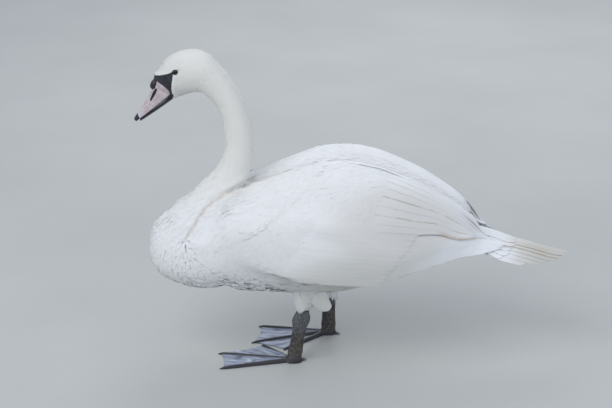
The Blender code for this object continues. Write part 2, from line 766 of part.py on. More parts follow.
def knob_object():
    """The low fleshy knob at the root of the culmen."""
    bm = bmesh.new()
    shape = Matrix.Diagonal((*(r / 1000 for r in KNOB_RADII), 1.0))
    turn = Matrix.Rotation(math.radians(KNOB_TILT), 4, "Y")
    place = Matrix.Translation(mm(*KNOB_PLACE)) @ turn @ shape
    bmesh.ops.create_icosphere(bm, subdivisions=2, radius=1.0, matrix=place)
    return finish_object("knob", bm, None, True)


def nostril_object(side):
    """A slot, sunk into one side of the upper bill."""
    start, end = NOSTRIL_FROM, NOSTRIL_TO
    rings = []
    for t, share in NOSTRIL_SECTIONS:
        x, z = (a + (b - a) * t for a, b in zip(start, end))
        ring = []
        for k in range(NOSTRIL_SIDES):
            angle = 2 * math.pi * k / NOSTRIL_SIDES
            reach = NOSTRIL_RADIUS * share
            ring.append(mm(x - reach * math.cos(angle), side * (NOSTRIL_OUT + reach * math.sin(angle)), z))
        rings.append(ring)
    return loft_object("nostril", rings, None, True)


def bill_parts(pink, black):
    """Upper bill with its knob and nostrils, and the lower bill, both butted on the face."""
    upper = loft_object("bill_upper", bill_rings(BILL_RIBS), pink)
    lower = loft_object("bill_lower", bill_rings(JAW_RIBS, -MOUTH_GAP), black)
    knob = knob_object()
    boolean(upper, "UNION", [knob])
    remove(knob)
    slots = [nostril_object(leg["side"]) for leg in LEGS.values()]
    boolean(upper, "DIFFERENCE", slots)
    remove(*slots)
    for half in (upper, lower):
        face_rings = neck_rings(0.0, FACE_CUT_ENDS, 0.5, HEAD_SIDES, -GAP / 2, 0.0, GAP)
        face = loft_object("face_cut", face_rings, None, True)
        boolean(half, "DIFFERENCE", [face])
        remove(face)


def build():
    for obj in list(bpy.data.objects):
        bpy.data.objects.remove(obj)
    white = colour_material("white_plumage", (0.86, 0.86, 0.84), 0.8)
    black = colour_material("black_skin", (0.02, 0.02, 0.022), 0.45)
    pink = colour_material("pink_grey_bill", (0.55, 0.42, 0.43), 0.4)
    grey = colour_material("grey_leg_skin", (0.17, 0.17, 0.18), 0.55)
    iris = colour_material("dark_eye", (0.01, 0.008, 0.006), 0.08)

    loft_object("torso", torso_rings(), white)

    head = loft_object("head", neck_rings(0.0, HEAD_ENDS, 0.5, HEAD_SIDES, GAP / 2, GAP / 2), white)
    lids = [lid_object(leg["side"]) for leg in LEGS.values()]
    boolean(head, "UNION", lids)
    sockets = []
    for side_name in LEGS:
        eye_object(side_name, iris)
        sockets.append(eye_object(side_name, None, GAP, True))
    boolean(head, "DIFFERENCE", sockets)
    remove(*lids, *sockets)

    lengths = (("neck_upper", HEAD_ENDS, NECK_UPPER_ENDS), ("neck_middle", NECK_UPPER_ENDS, NECK_MIDDLE_ENDS))
    for name, start, end in lengths:
        loft_object(name, neck_rings(start, end, start_gap=GAP / 2, end_gap=GAP / 2), white)
    lower_rings = neck_rings(NECK_MIDDLE_ENDS, len(NECK_RIBS) - 1, start_gap=GAP / 2)
    neck_lower = loft_object("neck_lower", lower_rings, white)

    bill_parts(pink, black)

    wings = {}
    for side_name in LEGS:
        wings[side_name] = wing_object(side_name, white)
    tail = tail_object(white)
    thighs = [thigh_object(side_name, white) for side_name in LEGS]

    for obj in (neck_lower, tail, *wings.values(), *thighs):
        cutter = loft_object("torso_cut", torso_rings(GAP), None, True)
        boolean(obj, "DIFFERENCE", [cutter])
        remove(cutter)

    for wing in wings.values():
        swollen = [tail_ring(*row, 2 * GAP) for row in tail_sections()]
        cutter = loft_object("tail_cut", swollen, None, True, crescent=True)
        boolean(wing, "DIFFERENCE", [cutter])
        remove(cutter)

    for side_name in LEGS:
        shank_object(side_name, grey)
        foot_object(side_name, grey)


build()
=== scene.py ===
import math

import bmesh
import bpy
import numpy as np
from mathutils import Matrix, Vector
from mathutils.bvhtree import BVHTree
from mathutils.kdtree import KDTree

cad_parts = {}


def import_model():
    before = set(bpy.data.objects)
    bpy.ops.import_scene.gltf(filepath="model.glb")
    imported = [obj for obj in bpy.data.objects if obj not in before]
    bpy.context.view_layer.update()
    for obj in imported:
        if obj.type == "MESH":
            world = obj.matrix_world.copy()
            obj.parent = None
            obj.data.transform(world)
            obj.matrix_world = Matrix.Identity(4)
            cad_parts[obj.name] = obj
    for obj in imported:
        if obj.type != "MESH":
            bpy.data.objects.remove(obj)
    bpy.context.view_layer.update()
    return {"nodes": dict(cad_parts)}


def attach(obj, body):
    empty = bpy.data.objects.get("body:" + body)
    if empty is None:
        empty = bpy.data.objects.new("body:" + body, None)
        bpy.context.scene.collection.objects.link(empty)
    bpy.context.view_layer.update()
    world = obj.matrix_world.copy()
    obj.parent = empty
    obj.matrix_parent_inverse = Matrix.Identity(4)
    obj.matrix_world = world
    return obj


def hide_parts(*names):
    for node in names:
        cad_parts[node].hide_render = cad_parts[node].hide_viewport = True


# The swan stands on z = 0 and faces -X, with its right side towards +Y.
# Tables are in millimetres, measured on the bird, and MM turns them into metres.
MM = 0.001
FLESH = ("torso", "head", "neck_upper", "neck_middle", "neck_lower", "thigh_left", "thigh_right")
SIDES = {"left": -1, "right": 1}

# The skin: size of its mesh, rounds of smoothing, and how deep it lies under the coat.
SKIN_VOXEL = 3.2
SKIN_SMOOTHING = 12
BODY_SMOOTHING = 100
# Where wings and tail end for the skin, along x.
SKIN_ENDS = {"wing_left": 250.0, "wing_right": 250.0, "tail": 298.0}
# The share of its triangles that the finished skin keeps.
SKIN_SHARE = 0.7
COAT_DEPTH = ((0, 1.2), (90, 1.8), (400, 3.0), (560, 4.0))

# The line through the middle of the bird, x and z, from the bill's root down the neck to the breast.
NECK_LINE = (
    (-381, 574), (-374, 585), (-362, 595), (-344, 603), (-323, 607), (-302, 604), (-285, 590),
    (-271, 573), (-258, 554), (-247, 532), (-239, 509), (-234, 484), (-232, 457), (-234, 431),
    (-242, 406), (-255, 381), (-277, 359), (-304, 335), (-330, 309), (-351, 282), (-366, 250),
    (-356, 222), (-325, 207), (-280, 205),
)
# The same line on through the trunk and out at the tail.
TRUNK_LINE = ((-200, 225), (-100, 250), (0, 262), (100, 262), (200, 258), (300, 250), (440, 216))
LINE_STEP = 6.0

# How the feathers of the coat grow with the distance along that line: distance, length, width.
FEATHER_SIZES = (
    (0, 4.5, 2.4), (40, 5.5, 2.8), (90, 9, 3.4), (160, 14, 3.8), (330, 18, 4.6),
    (430, 19, 6.0), (520, 22, 7.5), (620, 25, 9.5), (900, 28, 11), (1150, 40, 14),
)
# Feathers of shoulder and wing: length, width.
WING_SIZE = (34, 14)


def smooth_step(low, high, value):
    """0 below low, 1 above high, and a smooth rise between them."""
    share = np.clip((np.asarray(value, float) - low) / (high - low), 0.0, 1.0)
    return share * share * (3 - 2 * share)


def table_at(table, positions):
    """The columns of a table after its first one, read at positions along the first."""
    rows = np.array(table, float)
    return [np.interp(positions, rows[:, 0], column) for column in rows.T[1:]]


def curve_through(points, count):
    """Points spaced evenly along a smooth curve through the given ones."""
    rows = np.array(points, float)
    steps = np.linalg.norm(np.diff(rows, axis=0), axis=1) ** 0.5
    knots = np.concatenate([[0.0], np.cumsum(steps)])
    slopes = np.gradient(rows, knots, axis=0)
    fine = []
    for at in np.linspace(0, knots[-1], 12 * len(rows)):
        i = min(int(np.searchsorted(knots, at, "right")) - 1, len(rows) - 2)
        width = knots[i + 1] - knots[i]
        t = (at - knots[i]) / width
        fine.append(
            (2 * t**3 - 3 * t**2 + 1) * rows[i] + (t**3 - 2 * t**2 + t) * width * slopes[i]
            + (3 * t**2 - 2 * t**3) * rows[i + 1] + (t**3 - t**2) * width * slopes[i + 1]
        )
    fine = np.array(fine)
    reach = np.concatenate([[0.0], np.cumsum(np.linalg.norm(np.diff(fine, axis=0), axis=1))])
    places = np.linspace(0, reach[-1], count)
    return np.stack([np.interp(places, reach, column) for column in fine.T], 1)


def unit(vectors):
    return vectors / np.maximum(np.linalg.norm(vectors, axis=-1, keepdims=True), 1e-12)


def waves(points, size, seed):
    """A smooth random field over points, between about -1 and 1, with bumps of the given size."""
    rng = np.random.default_rng(seed)
    total = np.zeros(points.shape[:-1])
    for _ in range(7):
        heading = unit(rng.normal(size=3))
        turns = points @ heading * (2 * math.pi / size) * rng.uniform(0.6, 1.5)
        total += np.sin(turns + rng.uniform(0, 6.28))
    return total / 4


def inside(points_x, points_z, outline):
    """Which points lie inside an outline of x, z corners, all in millimetres."""
    corners = np.array(outline, float)
    result = np.zeros(len(points_x), bool)
    for (ax, az), (bx, bz) in zip(corners, np.roll(corners, -1, axis=0)):
        crosses = (az > points_z) != (bz > points_z)
        with np.errstate(divide="ignore", invalid="ignore"):
            at = ax + (points_z - az) * (bx - ax) / (bz - az)
        result ^= crosses & (points_x < at)
    return result


def segment_distance(x, z, start, end):
    dx, dz = end[0] - start[0], end[1] - start[1]
    t = np.clip(((x - start[0]) * dx + (z - start[1]) * dz) / (dx * dx + dz * dz), 0, 1)
    return np.hypot(x - start[0] - t * dx, z - start[1] - t * dz), t


def outline_distance(x, z, outline):
    """Distance to an outline in millimetres, above 0 inside it."""
    corners = np.array(outline, float)
    best = np.full(len(x), 1e9)
    for (ax, az), (bx, bz) in zip(corners, np.roll(corners, -1, axis=0)):
        dx, dz = bx - ax, bz - az
        t = np.clip(((x - ax) * dx + (z - az) * dz) / (dx * dx + dz * dz), 0, 1)
        best = np.minimum(best, np.hypot(x - ax - t * dx, z - az - t * dz))
    return np.where(inside(x, z, outline), best, -best)


# Meshes made from arrays.


def new_object(name, data):
    obj = bpy.data.objects.new(name, data)
    bpy.context.scene.collection.objects.link(obj)
    return obj


def mesh_from(bm, name):
    """A new mesh with what an edit mesh holds."""
    mesh = bpy.data.meshes.new(name)
    bm.to_mesh(mesh)
    bm.free()
    return mesh


def tube_quads(rings, sides):
    """The quads of a tube with a number of rings, each of the same number of points."""
    k = np.arange(sides)
    n = (k + 1) % sides
    return np.concatenate([
        np.stack([r * sides + k, r * sides + n, (r + 1) * sides + n, (r + 1) * sides + k], 1)
        for r in range(rings - 1)
    ])


def mesh_of(name, points, faces, smooth=True):
    """A mesh from an array of points in metres and a list of faces or of face arrays."""
    mesh = bpy.data.meshes.new(name)
    groups = [np.asarray(group, np.int32) for group in faces]
    loops = np.concatenate([group.ravel() for group in groups])
    totals = np.concatenate([np.full(len(group), group.shape[1], np.int32) for group in groups])
    mesh.vertices.add(len(points))
    mesh.vertices.foreach_set("co", np.asarray(points, np.float32).ravel())
    mesh.loops.add(len(loops))
    mesh.loops.foreach_set("vertex_index", loops)
    mesh.polygons.add(len(totals))
    starts = np.concatenate([[0], np.cumsum(totals)[:-1]])
    mesh.polygons.foreach_set("loop_start", starts.astype(np.int32))
    mesh.polygons.foreach_set("loop_total", totals)
    mesh.polygons.foreach_set("use_smooth", np.full(len(totals), smooth))
    mesh.update(calc_edges=True)
    mesh.validate()
    return mesh


def points_of(mesh):
    flat = np.empty(len(mesh.vertices) * 3, np.float32)
    mesh.vertices.foreach_get("co", flat)
    return flat.reshape(-1, 3).astype(float)


def set_points(mesh, points):
    mesh.vertices.foreach_set("co", points.astype(np.float32).ravel())
    mesh.update()


def shade_smooth(mesh):
    mesh.polygons.foreach_set("use_smooth", np.full(len(mesh.polygons), True))


def tree_of(points):
    """A search tree over points."""
    tree = KDTree(len(points))
    for i, point in enumerate(points.tolist()):
        tree.insert(point, i)
    tree.balance()
    return tree


def normals_of(mesh):
    flat = np.empty(len(mesh.vertices) * 3, np.float32)
    mesh.vertex_normals.foreach_get("vector", flat)
    return flat.reshape(-1, 3).astype(float)


def face_out(mesh):
    """Turns every face of a closed mesh outwards."""
    bm = bmesh.new()
    bm.from_mesh(mesh)
    bmesh.ops.recalc_face_normals(bm, faces=bm.faces)
    if bm.calc_volume(signed=True) < 0:
        bmesh.ops.reverse_faces(bm, faces=bm.faces)
    bm.to_mesh(mesh)
    bm.free()


def set_values(mesh, kind="FLOAT", **values):
    """Writes attributes by vertex: single numbers, or vectors with the kind FLOAT_VECTOR."""
    key = "vector" if kind == "FLOAT_VECTOR" else "value"
    for name, value in values.items():
        attribute = mesh.attributes.new(name, kind, "POINT")
        attribute.data.foreach_set(key, np.asarray(value, np.float32).ravel())


def loft(name, rings, closed_ends=True):
    """A tube mesh through rings of the same number of points, with fans over its ends."""
    rings = np.asarray(rings, float)
    count, sides = rings.shape[:2]
    points = rings.reshape(-1, 3)
    faces = [tube_quads(count, sides)]
    if closed_ends:
        k = np.arange(sides)
        n = (k + 1) % sides
        middles = rings[[0, -1]].mean(1)
        first = len(points)
        points = np.concatenate([points, middles])
        last = (count - 1) * sides
        faces.append(np.stack([n, k, np.full(sides, first)], 1))
        faces.append(np.stack([last + k, last + n, np.full(sides, first + 1)], 1))
    mesh = mesh_of(name, points, faces)
    face_out(mesh)
    return mesh


# The smoothed form that the feathers lie on.


class Surface:
    """The smoothed outer shape of the bird, on which the coat and the wings' feathers are laid."""

    def __init__(self, mesh):
        mesh.calc_loop_triangles()
        self.points = points_of(mesh)
        self.normals = normals_of(mesh)
        corners = np.empty(len(mesh.loop_triangles) * 3, np.int32)
        mesh.loop_triangles.foreach_get("vertices", corners)
        self.corners = corners.reshape(-1, 3)
        self.tree = BVHTree.FromPolygons(self.points.tolist(), self.corners.tolist())
        self.fields = self.normals

    def snap(self, points):
        """The nearest places on the surface, and the fields there."""
        flat = points.reshape(-1, 3)
        places = np.empty_like(flat)
        faces = np.empty(len(flat), int)
        for i, point in enumerate(flat.tolist()):
            place, _, face, _ = self.tree.find_nearest(point)
            places[i] = place
            faces[i] = face
        a, b, c = (self.points[self.corners[faces, k]] for k in range(3))
        whole = np.cross(b - a, c - a)
        size = np.maximum((whole**2).sum(1), 1e-24)
        second = (np.cross(places - a, c - a) * whole).sum(1) / size
        third = (np.cross(b - a, places - a) * whole).sum(1) / size
        shares = np.clip(np.stack([1 - second - third, second, third], 1), 0, 1)
        fields = (shares[..., None] * self.fields[self.corners[faces]]).sum(1)
        return places.reshape(points.shape), fields.reshape(*points.shape[:-1], -1)

    def beside(self, x, z, side):
        """The y of the outer surface seen from one side, or nan where there is none."""
        out = np.full(len(x), np.nan)
        for i in range(len(x)):
            hit = self.tree.ray_cast(Vector((x[i], side * 1.0, z[i])), Vector((0, -side, 0)))[0]
            if hit is not None:
                out[i] = hit.y
        return out


def body_line():
    """Places and headings every few millimetres along the middle of the bird, and their distances."""
    rows = np.array(NECK_LINE + TRUNK_LINE, float) * MM
    length = np.linalg.norm(np.diff(rows, axis=0), axis=1).sum()
    line = curve_through(rows, int(length / (LINE_STEP * MM)))
    line = np.stack([line[:, 0], np.zeros(len(line)), line[:, 1]], 1)
    steps = np.gradient(line, axis=0)
    reach = np.concatenate([[0.0], np.cumsum(np.linalg.norm(np.diff(line, axis=0), axis=1))])
    return line, unit(steps), reach / MM


def copy_of(node):
    """A welded copy of a node's mesh, as an object."""
    bm = bmesh.new()
    bm.from_mesh(node.data)
    bmesh.ops.remove_doubles(bm, verts=bm.verts, dist=1e-6)
    bmesh.ops.recalc_face_normals(bm, faces=bm.faces)
    return new_object("copy", mesh_from(bm, "copy"))


def cut_behind(obj, x):
    """Takes away what lies behind x."""
    bm = bmesh.new()
    bmesh.ops.create_cube(bm, size=1.0)
    bmesh.ops.translate(bm, verts=bm.verts, vec=(x * MM + 0.5, 0, 0.3))
    cutter = new_object("cutter", mesh_from(bm, "cutter"))
    modifier = obj.modifiers.new("cut", "BOOLEAN")
    modifier.operation = "DIFFERENCE"
    modifier.solver = "MANIFOLD"
    modifier.object = cutter
    apply_modifiers(obj)
    bpy.data.objects.remove(cutter)


def apply_modifiers(obj):
    bpy.context.view_layer.update()
    evaluated = obj.evaluated_get(bpy.context.evaluated_depsgraph_get())
    mesh = bpy.data.meshes.new_from_object(evaluated)
    obj.modifiers.clear()
    old = obj.data
    obj.data = mesh
    bpy.data.meshes.remove(old)


# Where the smoothed form is filled out or pressed in: middle, reach along x, y and z, and push.
SWELLS = (
    ((-394, 0, 601), (11, 30, 11), (-6.0, 0, 0.5)),
    ((-262, 0, 175), (20, 150, 60), (0, 0, 11.0)),
    ((-72, 0, 165), (80, 140, 40), (0, 0, -6.0)),
    ((-330, -40, 200), (30, 60, 40), (-3, 0, -5.0)),
    ((-330, 40, 200), (30, 60, 40), (-3, 0, -5.0)),
)
# How far the neck's plumage stands out over the smoothed form, by distance along the bird.
NECK_FULLNESS = ((0, 0.3), (100, 0.6), (150, 1.8), (330, 2.2), (430, 1.0), (520, 0.0))
# The fold between neck and shoulder, seen from the side, from the back down to the breast.
FOLD_LINE = (
    (-214, 384), (-224, 378), (-247, 366), (-280, 350), (-302, 334), (-318, 316), (-332, 297), (-342, 282),
)
# Its depth, its width and how far in front of the line it is deepest.
FOLD_DEPTH = 5.0
FOLD_WIDE = 7.5
FOLD_SHIFT = 3.0
# The lip of the shoulder along it: height, width and how far behind the line it is highest.
LIP_HEIGHT = 4.0
LIP_WIDE = 8.0
LIP_SHIFT = 8.0
# The distances from the middle of the bird over which the fold begins, how far around it the coat parts, and
# the shares of the way down over which the groove and the parting end.
FOLD_SIDES = (12, 34)
FOLD_REACH = 14.0
GROOVE_ENDS = (1.0, 0.86)
PARTING_ENDS = (1.0, 0.9)
# How strong the brown shadow painted into the fold is, and how far it reaches.
FOLD_PAINTED_SHADOW = 0.5
FOLD_SHADOW_REACH = 3.4
# Ripples across the lower breast: height and distance apart, and where they fade in from above, from the
# rear and from the front.
RIPPLE_HEIGHT = 1.3
RIPPLE_STEP = 11.0
RIPPLE_TOP = (222, 190)
RIPPLE_REAR = (-110, -190)
RIPPLE_FRONT = (-375, -345)
# Streaks down the base of the neck: height and distance apart, and where they fade in and out on the way
# along the bird.
STREAK_HEIGHT = 0.8
STREAK_STEP = 15.0
STREAKS_BEGIN = (300, 380)
STREAKS_END = (540, 470)
# Where the coat parts its feathers are smaller and the skin lies less deep, by these shares.
PARTING_SMALL = 0.42
PARTING_SHALLOW = 0.72
# How much less deep the skin lies under the sleek coat.
SLEEK_SHALLOW = 0.45
# Where the back of the neck meets the back: middle and reach along x and z, and lie of the coat.
NAPE_PLACE = (-222, 380)
NAPE_REACH = 32.0
NAPE_FLOW = (0.75, 0.0, -0.65)
# The distances from the middle of the bird over which that parting ends, and over which that lie ends.
NAPE_PARTING_SIDES = (110, 70)
NAPE_FLOW_SIDES = (75, 40)


def sculpt(surface):
    """The form with its full breast, the folds beside the neck, and the neck's fullness."""
    points = surface.points.copy()
    normals = surface.normals
    for middle, reach, push in SWELLS:
        gap = (points - np.array(middle) * MM) / (np.array(reach) * MM)
        points += np.array(push) * MM * np.exp(-(gap * gap).sum(1))[:, None]
    line, _, reach = body_line()
    tree = tree_of(line)
    along = reach[[tree.find(point)[1] for point in points.tolist()]]
    points += normals * (table_at(NECK_FULLNESS, along)[0] * MM)[:, None]
    x, y, z = points.T / MM
    gap, side, share = fold_distance(x, z)
    beside = smooth_step(*FOLD_SIDES, np.abs(y)) * smooth_step(*GROOVE_ENDS, share)
    groove = -FOLD_DEPTH * np.exp(-((side * gap + FOLD_SHIFT) / FOLD_WIDE) ** 2)
    lip = LIP_HEIGHT * np.exp(-((side * gap - LIP_SHIFT) / LIP_WIDE) ** 2)
    height = (groove + lip) * beside
    breast = smooth_step(*RIPPLE_TOP, z) * smooth_step(*RIPPLE_REAR, x) * smooth_step(*RIPPLE_FRONT, x)
    height += RIPPLE_HEIGHT * breast * np.sin((z + 7 * waves(points, 0.07, 81)) * 2 * math.pi / RIPPLE_STEP)
    neck = smooth_step(*STREAKS_BEGIN, along) * smooth_step(*STREAKS_END, along)
    height += STREAK_HEIGHT * neck * np.sin(y * 2 * math.pi / STREAK_STEP + 3 * waves(points, 0.07, 82))
    return points + normals * (height * MM)[:, None]


def near_fold(points, reach=FOLD_REACH):
    """1 in the fold beside the neck, falling to 0 on both sides of it."""
    x, y, z = points.T / MM
    gap, _, share = fold_distance(x, z)
    beside = smooth_step(*FOLD_SIDES, np.abs(y)) * smooth_step(*PARTING_ENDS, share)
    return np.exp(-(gap / reach) ** 2) * beside


def near_nape(points, sides):
    """1 at the nape, falling to 0 around it and over the given distances from the middle."""
    x, y, z = points.T / MM
    away = np.hypot(x - NAPE_PLACE[0], z - NAPE_PLACE[1]) / NAPE_REACH
    return np.exp(-away**2) * smooth_step(*sides, np.abs(y))


def near_parting(points):
    """1 where the coat parts, in the fold and at the nape, falling to 0 around it."""
    return np.maximum(near_fold(points), near_nape(points, NAPE_PARTING_SIDES))


def fold_distance(x, z):
    """Distance to the fold beside the neck, its side (1 on the shoulder's), and the share of the way down."""
    rows = np.array(FOLD_LINE, float)
    best = np.full(len(x), 1e9)
    side = np.ones(len(x))
    share = np.zeros(len(x))
    for i, (start, end) in enumerate(zip(rows, rows[1:])):
        gap, along = segment_distance(x, z, start, end)
        closer = gap < best
        turn = (end[0] - start[0]) * (z - start[1]) - (end[1] - start[1]) * (x - start[0])
        best[closer] = gap[closer]
        side[closer] = np.where(turn > 0, -1.0, 1.0)[closer]
        share[closer] = ((i + along) / (len(rows) - 1))[closer]
    return best, side, share


def remeshed(objects, voxel, rounds, broad_rounds=0):
    """One smooth closed mesh round the given objects, which are removed."""
    bm = bmesh.new()
    for obj in objects:
        bm.from_mesh(obj.data)
        bpy.data.objects.remove(obj)
    whole = new_object("form", mesh_from(bm, "form"))
    remesh = whole.modifiers.new("even", "REMESH")
    remesh.mode = "VOXEL"
    remesh.voxel_size = voxel * MM
    apply_modifiers(whole)
    keep_largest(whole.data)
    smooth_mesh(whole.data, rounds, broad_rounds)
    return whole


def keep_largest(mesh):
    """Keeps the piece of a mesh that has the most vertices."""
    bm = bmesh.new()
    bm.from_mesh(mesh)
    seen = set()
    pieces = []
    for start in bm.verts:
        if start in seen:
            continue
        seen.add(start)
        piece = [start]
        for vert in piece:
            for edge in vert.link_edges:
                other = edge.other_vert(vert)
                if other not in seen:
                    seen.add(other)
                    piece.append(other)
        pieces.append(piece)
    pieces.sort(key=len)
    loose = [vert for piece in pieces[:-1] for vert in piece]
    bmesh.ops.delete(bm, geom=loose, context="VERTS")
    bm.to_mesh(mesh)
    bm.free()


def edge_ends(mesh):
    flat = np.empty(len(mesh.edges) * 2, np.int32)
    mesh.edges.foreach_get("vertices", flat)
    return flat.reshape(-1, 2)


def spread(values, ends, rounds, share=0.5):
    """Evens out values over a mesh, each vertex with its neighbours."""
    counts = np.bincount(ends.ravel(), minlength=len(values)).astype(float)[:, None]
    for _ in range(rounds):
        sums = np.zeros_like(values)
        for column in range(values.shape[1]):
            sums[:, column] = np.bincount(ends[:, 0], values[ends[:, 1], column], len(values))
            sums[:, column] += np.bincount(ends[:, 1], values[ends[:, 0], column], len(values))
        values = values + (sums / counts - values) * share
    return values


# The borders, in metres, over which the form comes to be smoothed by more rounds: the breast's top and front,
# the trunk's front, and the underside of both.
BREAST_TOP = (0.385, 0.345)
BREAST_FRONT = (-0.335, -0.285)
TRUNK_FRONT = (-0.215, -0.18)
UNDERSIDE = (0.16, 0.20)


def smooth_mesh(mesh, rounds, broad_rounds=0):
    """Smooths a mesh, and breast and trunk by more rounds."""
    points = points_of(mesh)
    ends = edge_ends(mesh)
    points = spread(points, ends, rounds)
    broad = spread(points, ends, broad_rounds)
    x, z = points[:, :1], points[:, 2:]
    breast = smooth_step(*BREAST_TOP, z) * smooth_step(*BREAST_FRONT, x)
    share = np.maximum(breast, smooth_step(*TRUNK_FRONT, x)) * smooth_step(*UNDERSIDE, z)
    shade_smooth(mesh)
    set_points(mesh, points + (broad - points) * share)


# What lies behind the fold beside the neck, seen from the side: shoulder and wing.
SHOULDER_OUTLINE = FOLD_LINE + (
    (-336, 266), (-312, 240), (-262, 222), (-180, 206), (-60, 192), (60, 185), (330, 215), (330, 330),
    (150, 480), (-120, 480),
)
# How far from the middle of the bird the shoulder begins, and the length of the line's part in the trunk.
SHOULDER_SIDE = 26
TRUNK_LENGTH = 620
# Where the back begins along x and z.
BACK_FRONT = -190
BACK_LOW = 250
# Where the coat grows sleek along x, and how much its lie falls on wing and back.
SLEEK_BEGINS = (-290, -120)
WING_FALL = -0.12
# Rounds that even out the lie of the coat, in the fold and elsewhere.
FLOW_ROUNDS = 5
BROAD_FLOW_ROUNDS = 34
# How many vertices are compared with the bird's line at once.
ROWS_AT_ONCE = 8000
# The columns of a surface's fields: normal, lie of the coat, distance along the bird, cosine and sine of the
# angle round it, share of the wing, and share of the sleek coat with the largest feathers.
NORMAL = slice(0, 3)
FLOW = slice(3, 6)
ALONG, COSINE, SINE, WING, SLEEK = range(6, 11)


def add_fields(surface, mesh):
    """Normal, lie of the coat, distance along the bird, angle round it, and shares of wing and sleek coat."""
    line, headings, reach = body_line()
    points = surface.points
    count = len(points)
    x, y, z = points.T / MM
    shoulder = inside(x, z, SHOULDER_OUTLINE) & (np.abs(y) > SHOULDER_SIDE)
    wing = (shoulder | (x > BACK_FRONT) & (z > BACK_LOW)).astype(float)
    ends = edge_ends(mesh)
    wing = spread(wing[:, None], ends, 6)[:, 0]
    flow = np.zeros((count, 3))
    along = np.zeros(count)
    trunk = reach > reach[-1] - TRUNK_LENGTH
    for first in range(0, count, ROWS_AT_ONCE):
        rows = slice(first, first + ROWS_AT_ONCE)
        gaps = np.linalg.norm(points[rows, None, :] - line[None], axis=2)
        for share, allowed in ((1 - wing[rows], np.ones(len(line))), (wing[rows], trunk * 1.0)):
            masked = np.where(allowed > 0, gaps, 9.0)
            least = masked.min(1, keepdims=True)
            spreads = 0.22 * least + 0.008
            weights = np.exp(-(masked**2 - least**2) / (2 * spreads**2)) * allowed
            weights *= (share / weights.sum(1))[:, None]
            flow[rows] += weights @ headings
            along[rows] += weights @ reach
    flow += np.array([0.0, 0.0, WING_FALL]) * wing[:, None]
    flow += (np.array(NAPE_FLOW) - flow) * near_nape(points, NAPE_FLOW_SIDES)[:, None]
    crisp = spread(flow, ends, FLOW_ROUNDS)
    soft = spread(crisp, ends, BROAD_FLOW_ROUNDS)
    flow = soft + (crisp - soft) * near_fold(points)[:, None]
    normals = surface.normals
    flow = unit(flow - (flow * normals).sum(1, keepdims=True) * normals)
    centres = np.stack([np.interp(along, reach, line[:, k]) for k in range(3)], 1)
    ups = np.stack([np.interp(along, reach, headings[:, k]) for k in range(3)], 1)
    outward = points - centres
    high = outward[:, 2] * ups[:, 0] - outward[:, 0] * ups[:, 2]
    angle = np.arctan2(outward[:, 1], high)
    sleek = wing * smooth_step(*SLEEK_BEGINS, x)
    surface.fields = np.concatenate(
        [normals, flow, np.stack([along, np.cos(angle), np.sin(angle), wing, sleek], 1)], 1)


# How many places are tried for each that fits.
SCATTER_TRIES = 5


def scatter(surface, spacing, allowed, seed):
    """Even, random places on the allowed part of the surface, as far apart as spacing says by vertex."""
    rng = np.random.default_rng(seed)
    a, b, c = (surface.points[surface.corners[:, k]] for k in range(3))
    area = np.linalg.norm(np.cross(b - a, c - a), axis=1) / 2
    gap = spacing[surface.corners].mean(1)
    weight = area / gap**2 * allowed[surface.corners].min(1)
    count = int(weight.sum() * SCATTER_TRIES)
    faces = rng.choice(len(weight), count, p=weight / weight.sum())
    first, second = rng.random((2, count))
    flip = first + second > 1
    first[flip], second[flip] = 1 - first[flip], 1 - second[flip]
    shares = np.stack([1 - first - second, first, second], 1)
    points = (shares[..., None] * surface.points[surface.corners[faces]]).sum(1)
    radius = (shares * spacing[surface.corners[faces]]).sum(1)
    tree = tree_of(points)
    free = np.ones(count, bool)
    kept = []
    for i in range(count):
        if free[i]:
            kept.append(i)
            for _, other, _ in tree.find_range(points[i], radius[i]):
                free[other] = False
    return points[kept]


def turned(vectors, axes, angles):
    """Vectors turned round axes at right angles to them."""
    angles = np.asarray(angles)[:, None]
    return vectors * np.cos(angles) + np.cross(axes, vectors) * np.sin(angles)


# Small feathers.

# A small feather: place along it, share of its width, share of its lift. The face has the plainer ones.
VANE_SHAPE = (
    (0.0, 0.45, 0.0), (0.3, 0.85, 0.45), (0.6, 1.0, 0.8), (0.82, 0.86, 0.93), (0.94, 0.54, 0.98),
    (1.0, 0.14, 1.0),
)
FINE_SHAPE = ((0.0, 0.6, 0.0), (0.55, 1.0, 0.8), (1.0, 0.15, 1.0))
# Its section has four corners: left rim, top, right rim and underside.
VANE_SIDES = 4
# How thick a small feather is: in the ruffled coat, and in the sleek coat of wings and back.
VANE_THICK = (0.24, 0.14)
# How far its rims droop: by the square of its half width, less in the sleek coat, and at most so much of it.
VANE_DROOP = 7
SLEEK_DROOP = 5
DROOP_LIMIT = 0.5
# How much each feather turns out of the lie of the coat, in radians: by itself, and with its neighbours.
VANE_TURN = 0.12
TUFT_TURN = 0.30
TUFT_SIZE = 0.016
# The share by which the sleek coat's feathers turn less.
SLEEK_CALM = 0.75
# Feathers whose tip comes to lie nearer to their root than this share of their length are left out.
LEAST_REACH = 0.7
# Where the coat's map begins and how much of it the bird takes up, the bird's whole length in it, and the
# half size of one feather.
MAP_START = 0.02
MAP_SHARE = 0.96
MAP_LENGTH = 1300
MAP_FEATHER = 0.0015


